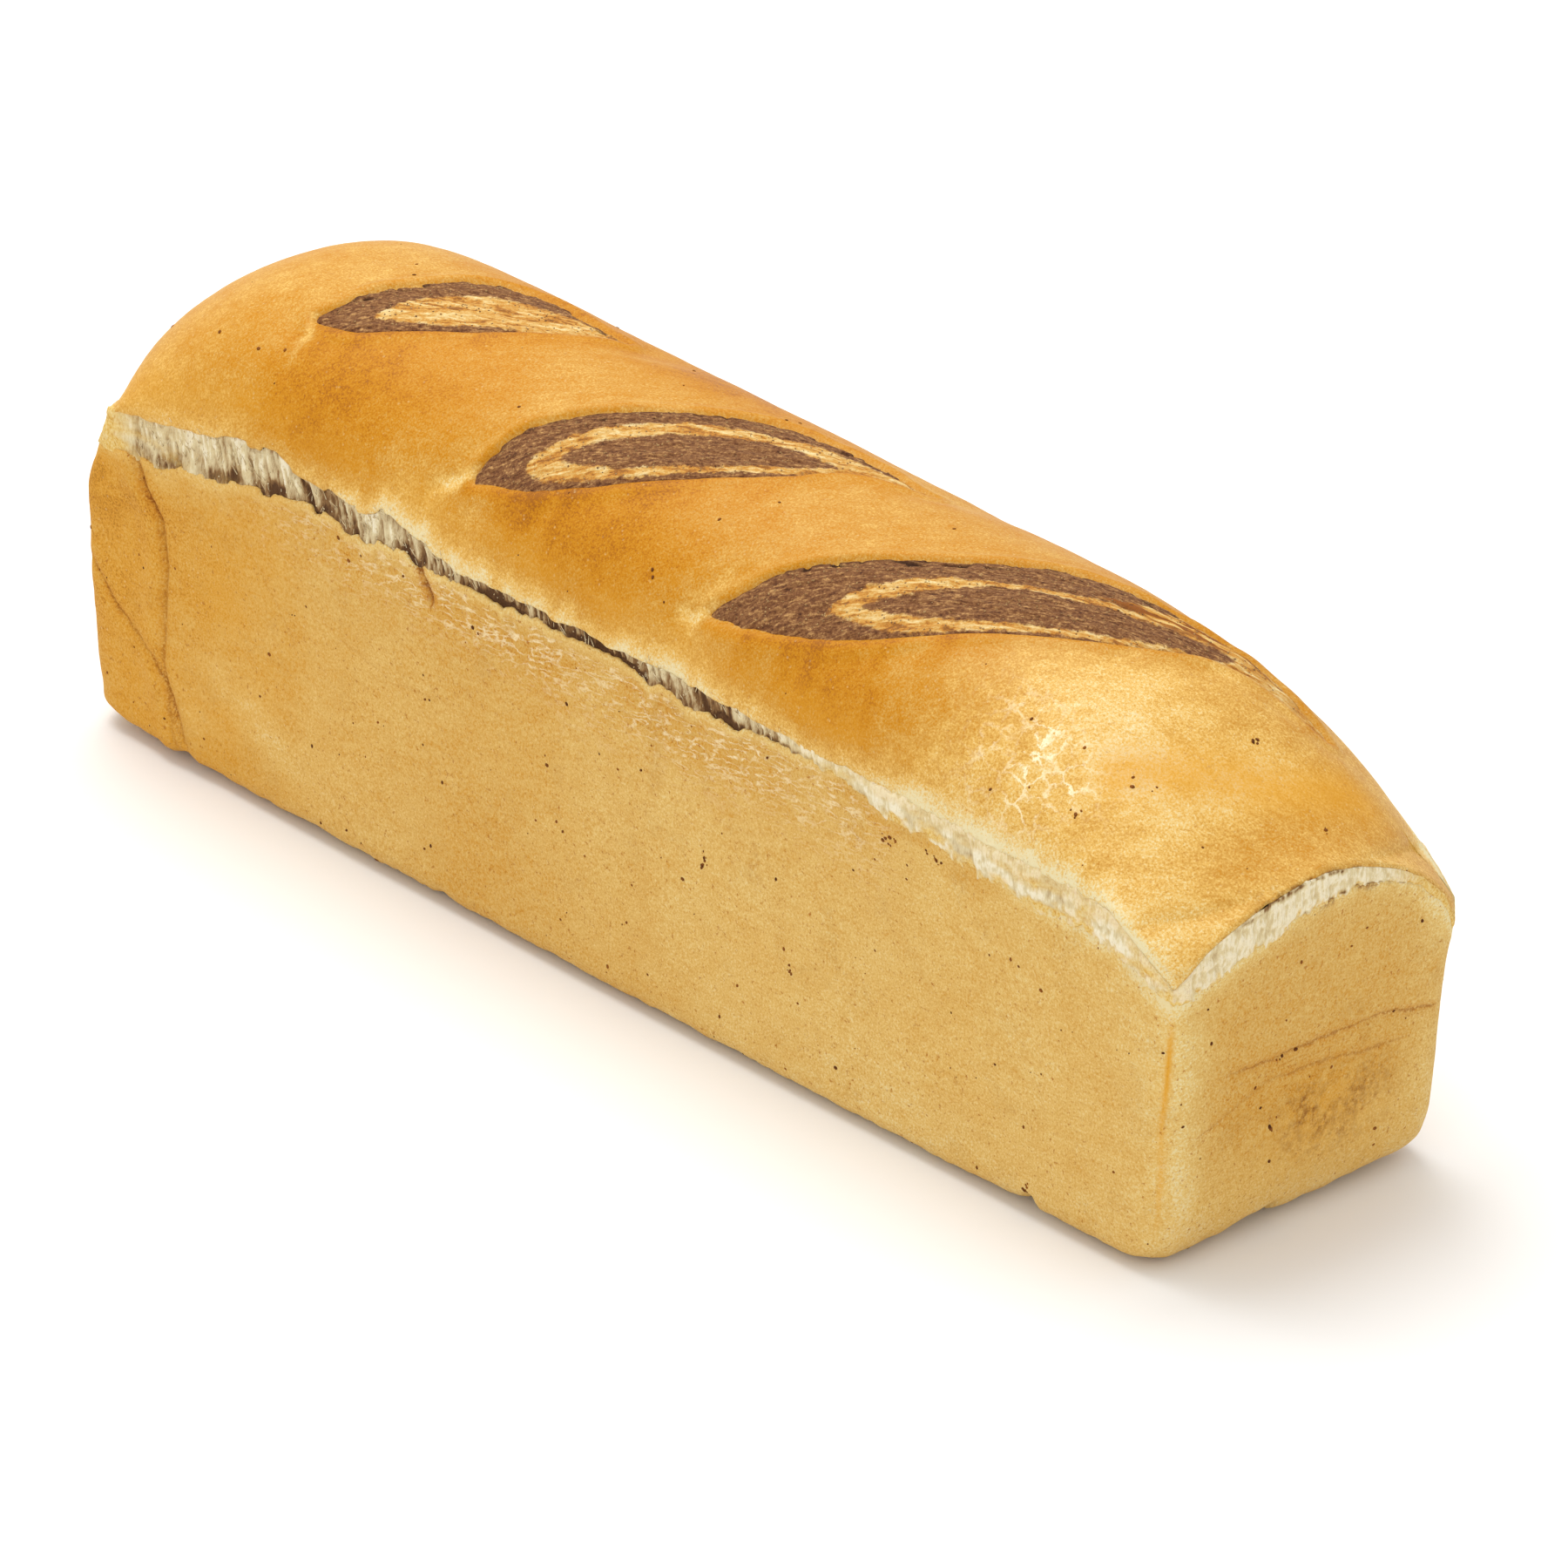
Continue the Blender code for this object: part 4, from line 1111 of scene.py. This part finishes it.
def build_band():
    x, y = outline_columns(1000, 237, 500, 120)
    low, high = torn_low(x, y), torn_high(x, y)
    v = np.linspace(-0.25, 1.25, BAND_ROWS)[:, None]
    gap = np.maximum(high - low, 2.5)
    white = round_the_loaf(x, y, WHITE_NEAR, ALL, WHITE_FAR, ((-60, 0.8), (60, 0.8)))
    roll = round_the_loaf(x, y, ROLL_NEAR, ALL, ROLL_FAR, ((-60, 0.6), (60, 0.6)))
    near, right, far, left = side_share(x, y)
    z = low + np.minimum(v, 1.03 + 0.17 * roll * near) * gap
    plain = ring_points(x, y, z)
    normal = outward(plain)
    place = np.stack(np.broadcast_arrays(x + y * 1.7, z, np.zeros_like(z)), -1)
    slant = place + np.stack([0.25 * place[..., 1], 0 * z, 0 * z], -1)
    strands = grain(slant, (0.95, 6.0, 1.0), 131)
    clumps = grain(slant, (3.4, 7.0, 1.0), 132)
    rough = grain(place, 1.3, 133)
    middle = bell((v - 0.5) / 0.62, 1.0)
    pleats = grain(slant, (2.4, 9.0, 1.0), 134)
    depth = slow_waves(plain) - 0.6 * (1 - roll) * middle + 0.5 * roll * middle
    depth = depth + (0.35 * strands + 0.3 * clumps + 0.2 * rough) * (1 - 0.6 * roll)
    folds = grain(slant, (9.0, 1.7, 1.0), 136)
    depth = depth + (0.35 * pleats + 0.3 * folds) * roll
    patchy = step(-0.35, 0.25, grain(place, (9.0, 30.0, 1.0), 135))
    foot = bell((v - 0.1) / 0.22, 1.0) * patchy
    white = white - 0.62 * foot * (1 - roll) + 0.24 * (v - 0.5) * (1 - roll)
    white = white + 0.36 * strands * (1 - roll) + 0.28 * clumps * (1 - roll) + 0.08 * rough
    # one deep brown rent runs aslant through the white strands
    rent = near * bell((x + 112.5) + 0.8 * (z - 95.5) + 1.0 * clumps, 1.5)
    white = white - 0.7 * rent
    depth = depth - 0.4 * rent
    pits = step(0.45, 0.1, white) * step(0.0, 0.5, rough + strands)
    depth = depth - 0.5 * pits * (1 - roll)
    white = white + roll * (0.16 * pleats + 0.14 * folds + 0.12 * rough - 0.06)
    # the edges tuck in under the skins, but the soft roll lies a little over them
    tucked = np.abs(v - 0.5) - 0.5
    drape = roll * np.where(v < 0.5, 0.13, 0.09 * near * step(176, 160, x))
    drape = drape * (1.0 + 0.5 * rough + 0.4 * clumps)
    depth = np.where(tucked > drape, depth - 0.8 - 6.0 * (tucked - drape), depth)
    # crust grew over the tear at the corners; along the roll its edges fade into the skin
    corner = np.hypot(HALF_LENGTH - np.abs(x), HALF_WIDTH - np.abs(y))
    skin = np.where(x < 0, 0.9 * step(24, 10, corner), 0.3 * bell(corner, 8.0))
    skin = skin + right * 0.9 * step(18, 34, y)
    depth = depth + np.where(x < 0, 0.8, 0.0) * step(24, 10, corner)
    blotch = grain(place, (6.0, 2.2, 1.0), 137)
    blotch = blotch * step(0.9, 0.4, v) + 0.6 * step(0.3, -0.2, v + 0.4 * rough + 0.3 * clumps)
    skin = skin + roll * (1 - right) * (0.36 + 0.08 * step(130, 160, x) + 0.9 * blotch)
    skin = skin + roll * right * (0.8 * step(0.1, -0.18, v + 0.2 * rough + 0.2 * clumps) + 0.1)
    # over the right end the dried edges of the tear crumbled to brown
    crumbled = right * step(-0.25, 0.2, grain(place, (2.2, 1.3, 1.0), 138))
    crumbled = crumbled * (bell(v - 0.93, 0.09) * step(-30, -24, y) * step(14, 6, y)
                           + bell(v - 0.02, 0.09) * step(-12, -4, y) * step(34, 26, y))
    white, skin = white - 0.6 * crumbled, skin * (1.0 - crumbled)
    outer = plain + normal * depth[..., None]
    inner = [ring_points(x, y, z[row], 1.0) - normal[row] * 5.0 for row in (-1, 0)]
    points = np.concatenate([outer, np.stack(inner)])
    rows, columns = points.shape[:2]

    def spread(values):
        return np.concatenate([values, values[-1:], values[:1]]).ravel()

    shown = (v > 0.02) & (v < 0.98) & (high - low > 3.0) & (skin < 0.5) & (roll < 0.5)
    attributes = {"white": spread(np.clip(white, 0, 1)), "skin": spread(np.clip(skin, 0, 1)),
                  "open": np.concatenate([shown, shown[:2] & False]).ravel()}
    return make_piece("torn_band", points.reshape(-1, 3), ring_quads(rows, columns, closed=True),
                      [], attributes, torn_crumb)


torn_crumb = torn_material()
band = build_band()

# ---------------------------------------------------------------------------------------
# Torn strands. Threads of stretched dough still cross the torn band, pulled upwards by the
# rising dome and dried to pale, stiff fibres as thin as hair.
# ---------------------------------------------------------------------------------------


def scatter_tree(name, make_shape, make_turn, inputs):
    """Node tree that scatters one small shape over a mesh, denser where "density" is high."""
    tree = bpy.data.node_groups.new(name, "GeometryNodeTree")
    tree.interface.new_socket("Surface", in_out="INPUT", socket_type="NodeSocketGeometry")
    for key, value in inputs.items():
        kind = "NodeSocketInt" if isinstance(value, int) else "NodeSocketFloat"
        tree.interface.new_socket(key, in_out="INPUT", socket_type=kind)
    tree.interface.new_socket("Finish", in_out="INPUT", socket_type="NodeSocketMaterial")
    tree.interface.new_socket("Pieces", in_out="OUTPUT", socket_type="NodeSocketGeometry")
    given = add(tree, "NodeGroupInput").outputs
    density = add(tree, "GeometryNodeInputNamedAttribute", {"Name": "density"}, data_type="FLOAT")
    points = add(tree, "GeometryNodeDistributePointsOnFaces",
                 {"Mesh": given["Surface"], "Density": density.outputs["Attribute"],
                  "Seed": given["Seed"]}, distribute_method="RANDOM")
    size = add(tree, "FunctionNodeRandomValue", {2: given["Smallest"], 3: given["Largest"],
                                                 "Seed": given["Seed"]}, data_type="FLOAT")
    copies = add(tree, "GeometryNodeInstanceOnPoints",
                 {"Points": points.outputs["Points"], "Instance": make_shape(tree, given),
                  "Rotation": make_turn(tree, points.outputs, given),
                  "Scale": size.outputs[1]})
    real = add(tree, "GeometryNodeRealizeInstances", {"Geometry": copies.outputs["Instances"]})
    smooth = add(tree, "GeometryNodeSetShadeSmooth", {"Geometry": real.outputs["Geometry"]})
    dressed = add(tree, "GeometryNodeSetMaterial", {"Geometry": smooth.outputs["Geometry"],
                                                    "Material": given["Finish"]})
    add(tree, "NodeGroupOutput", {"Pieces": dressed.outputs["Geometry"]})
    return tree


def mesh_values(mesh, name):
    values = np.zeros(len(mesh.vertices), np.float32)
    mesh.attributes[name].data.foreach_get("value", values)
    return values


def mesh_points(mesh):
    """Vertices of a finished piece in millimetres."""
    points = np.zeros(len(mesh.vertices) * 3, np.float32)
    mesh.vertices.foreach_get("co", points)
    return points.reshape(-1, 3).astype(float) / MM


def scatter(name, source, per_square_mm, tree, inputs, finish):
    """Scatter over a finished piece by the tree and turn the result into one plain mesh."""
    piece = bpy.data.objects.new(name, source.data.copy())
    bpy.context.scene.collection.objects.link(piece)
    layer = piece.data.attributes.new("density", "FLOAT", "POINT")
    layer.data.foreach_set("value", np.asarray(per_square_mm / MM ** 2, np.float32))
    modifier = piece.modifiers.new("scatter", "NODES")
    modifier.node_group = tree
    values = dict(inputs, Finish=finish)
    for socket in tree.interface.items_tree:
        if socket.name in values:
            modifier[socket.identifier] = values[socket.name]
    shown = piece.evaluated_get(bpy.context.evaluated_depsgraph_get())
    mesh = bpy.data.meshes.new_from_object(shown)
    piece.modifiers.remove(modifier)
    piece.data = mesh
    mesh.name = name
    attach(piece, "root")
    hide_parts("loaf")
    return piece


def strand_shape(tree, given):
    """Thread tapering to its top: a slim cone with five sides."""
    cone = add(tree, "GeometryNodeMeshCone", {"Vertices": 5, "Side Segments": 2,
                                              "Radius Top": given["Tip"],
                                              "Radius Bottom": given["Root"],
                                              "Depth": given["Length"]})
    return cone.outputs["Mesh"]


def strand_turn(tree, at, given):
    """Threads point up the wall, lean out a little and stray to the sides."""
    stray = add(tree, "FunctionNodeRandomValue", {0: (-0.45, -0.45, 0.6), 1: (0.45, 0.45, 1.2),
                                                  "Seed": given["Seed"]}, data_type="FLOAT_VECTOR")
    lean = add(tree, "ShaderNodeVectorMath", {0: at["Normal"], "Scale": 0.16}, operation="SCALE")
    way = add(tree, "ShaderNodeVectorMath", {0: stray.outputs[0], 1: lean.outputs[0]},
              operation="ADD")
    return add(tree, "FunctionNodeAlignRotationToVector", {"Vector": way.outputs[0]},
               axis="Z").outputs["Rotation"]


def fibre_material(name, dark, light):
    """Dried gluten thread: matt and pale."""
    material, tree, shader = new_material(name)
    place = add(tree, "ShaderNodeTexCoord").outputs["Object"]
    patch = add(tree, "ShaderNodeTexNoise", {"Vector": place, "Scale": per_mm(2.6),
                                             "Detail": 2.0})
    colour = add_ramp(tree, patch.outputs["Fac"], ((0.35, dark), (0.62, light)))
    tree.links.new(colour, shader.inputs["Base Color"])
    shader.inputs["Roughness"].default_value = 0.9
    shader.inputs["Specular IOR Level"].default_value = 0.2
    return material


strand_inputs = {"Smallest": 0.5, "Largest": 1.2, "Length": 2.6 * MM, "Root": 0.15 * MM,
                 "Tip": 0.05 * MM, "Seed": 5}
strand_tree = scatter_tree("torn_strand_tree", strand_shape, strand_turn, strand_inputs)
torn_fibre = fibre_material("dried_torn_fibre", "b59c72", "dccca6")
open_share = mesh_values(band.data, "open") * (0.25 + mesh_values(band.data, "white"))
strands = scatter("torn_strands", band, 0.30 * open_share, strand_tree, strand_inputs,
                  torn_fibre)

# ---------------------------------------------------------------------------------------
# Loose crumb. Bits of crumb torn free by the oven spring sit on the open slashes and along
# the torn band.
# ---------------------------------------------------------------------------------------


def crumb_shape(tree, given):
    """Crumb: a small faceted lump."""
    lump = add(tree, "GeometryNodeMeshIcoSphere", {"Radius": 0.5, "Subdivisions": 1})
    flat = add(tree, "ShaderNodeCombineXYZ", {"X": 1.0, "Y": 0.75, "Z": given["Flatness"]})
    return add(tree, "GeometryNodeTransform", {"Geometry": lump.outputs["Mesh"],
                                               "Scale": flat.outputs[0]}).outputs["Geometry"]


def crumb_turn(tree, at, given):
    """Lumps lie on the surface, each turned its own way about the surface's normal."""
    turn = add(tree, "FunctionNodeRandomValue", {2: 0.0, 3: 6.283, "Seed": given["Seed"]},
               data_type="FLOAT")
    turn = add(tree, "ShaderNodeCombineXYZ", {"Z": turn.outputs[1]})
    turn = add(tree, "FunctionNodeEulerToRotation", {0: turn.outputs[0]})
    return add(tree, "FunctionNodeRotateRotation", {0: at["Rotation"], 1: turn.outputs[0]},
               rotation_space="LOCAL").outputs[0]


crumb_inputs = {"Smallest": 0.25 * MM, "Largest": 0.75 * MM, "Flatness": 0.7, "Seed": 11}
crumb_tree = scatter_tree("loose_crumb_tree", crumb_shape, crumb_turn, crumb_inputs)
brown_crumb = fibre_material("loose_brown_crumb", "6f4a2c", "a9885a")
for face in slash_faces:
    number = face.name.rsplit("_", 1)[1]
    scatter(f"slash_crumb_{number}", face, 0.22 * mesh_values(face.data, "open"), crumb_tree,
            crumb_inputs, brown_crumb)
band_crumb = scatter("band_crumb", band, 0.14 * open_share, crumb_tree,
                     dict(crumb_inputs, Seed=12), torn_fibre)

# ---------------------------------------------------------------------------------------
# Burnt flecks. Flour and crumbs left in the tin charred on to the skin as dark specks, a
# few by themselves and some in clusters.
# ---------------------------------------------------------------------------------------
FLECK_SPOTS = ((67, -48, 34), (132, -48, 30), (10, -48, 35.5), (36, -48, 52), (101, -47.5, 83.5),
               (104, -47.5, 83), (114, -47.5, 85), (118, -47.5, 83), (150, -47.5, 8),
               (199, -10.6, 49), (197, -12, 31.5), (199, -25, 87), (200, 6, 88),
               (191, 9.9, 100), (158, -40, 109), (163.5, -26.6, 114.5), (168, 9, 115.5),
               (-113, 14, 131), (-118, -47, 60), (96, -30, 124), (-20, 47, 40), (80, 47, 66))


def fleck_density(mesh, scattered):
    """Flecks for each square millimetre: a thin scatter, crowded at the spots."""
    points = mesh_points(mesh)
    density = np.full(len(points), scattered)
    for spot in FLECK_SPOTS:
        density += 1.3 * bell(np.linalg.norm(points - spot, axis=1), 1.0)
    return density * mesh_values(mesh, "open")


def char_material():
    """Charred flour: near-black brown, dry, with a faint glint on its edges."""
    material, tree, shader = new_material("charred_flour")
    place = add(tree, "ShaderNodeTexCoord").outputs["Object"]
    patch = add(tree, "ShaderNodeTexNoise", {"Vector": place, "Scale": per_mm(3.0),
                                             "Detail": 2.0})
    colour = add_ramp(tree, patch.outputs["Fac"], ((0.35, "4a2409"), (0.65, "8a5018")))
    tree.links.new(colour, shader.inputs["Base Color"])
    shader.inputs["Roughness"].default_value = 0.8
    shader.inputs["Specular IOR Level"].default_value = 0.15
    return material


charred = char_material()
fleck_inputs = {"Smallest": 0.45 * MM, "Largest": 1.5 * MM, "Flatness": 0.35, "Seed": 21}
wall_flecks = scatter("burnt_flecks_wall", walls, fleck_density(walls.data, 0.003), crumb_tree,
                      fleck_inputs, charred)
dome_flecks = scatter("burnt_flecks_dome", dome, fleck_density(dome.data, 0.0012), crumb_tree,
                      dict(fleck_inputs, Seed=22), charred)

# ---------------------------------------------------------------------------------------
# Studio: a white sweep under a large overhead softbox, with even fill from all round.
# ---------------------------------------------------------------------------------------


def studio_floor():
    mesh = bpy.data.meshes.new("studio_floor")
    mesh.from_pydata([(-6, -6, -0.0002), (6, -6, -0.0002), (6, 6, -0.0002), (-6, 6, -0.0002)],
                     [], [(0, 1, 2, 3)])
    material, tree, shader = new_material("white_paper_sweep")
    shader.inputs["Base Color"].default_value = linear("f1f0ee")
    shader.inputs["Roughness"].default_value = 0.8
    mesh.materials.append(material)
    floor = bpy.data.objects.new("studio_floor", mesh)
    bpy.context.scene.collection.objects.link(floor)


def softbox(name, place, aim, size, power):
    light = bpy.data.lights.new(name, "AREA")
    light.shape = "SQUARE"
    light.size = size
    light.energy = power
    lamp = bpy.data.objects.new(name, light)
    lamp.location = place
    direction = np.array(aim) - np.array(place)
    lamp.rotation_euler = Vector(direction).to_track_quat("-Z", "Y").to_euler()
    bpy.context.scene.collection.objects.link(lamp)


CAMERA_AZIMUTH, CAMERA_ELEVATION = 48.0, 27.5
CAMERA_DISTANCE = 4.0
CAMERA_AIM = (0.0130, -0.0014, 0.0476)
VIEW_WIDTH = 0.3832              # metres across at the aim point


def studio_camera():
    camera = bpy.data.cameras.new("studio_camera")
    camera.sensor_width = 36.0
    camera.lens = 36.0 * CAMERA_DISTANCE / VIEW_WIDTH
    camera.clip_end = 50.0
    azimuth, elevation = np.radians(CAMERA_AZIMUTH), np.radians(CAMERA_ELEVATION)
    back = np.array([np.sin(azimuth) * np.cos(elevation), -np.cos(azimuth) * np.cos(elevation),
                     np.sin(elevation)])
    holder = bpy.data.objects.new("studio_camera", camera)
    holder.location = np.array(CAMERA_AIM) + back * CAMERA_DISTANCE
    holder.rotation_euler = Vector(-back).to_track_quat("-Z", "Y").to_euler()
    bpy.context.scene.collection.objects.link(holder)
    bpy.context.scene.camera = holder


studio_floor()
softbox("overhead_softbox", (-0.45, 0.08, 1.35), (0, 0, 0.05), 1.1, 14.9)
softbox("front_fill", (1.45, -1.38, 0.9), (0, 0, 0.06), 1.4, 6.9)
studio_camera()
world = bpy.data.worlds.new("studio_air")
world.use_nodes = True
world.node_tree.nodes["Background"].inputs["Color"].default_value = (1.0, 1.0, 1.0, 1.0)
world.node_tree.nodes["Background"].inputs["Strength"].default_value = 0.85
bpy.context.scene.world = world
bpy.context.scene.view_settings.view_transform = "Standard"

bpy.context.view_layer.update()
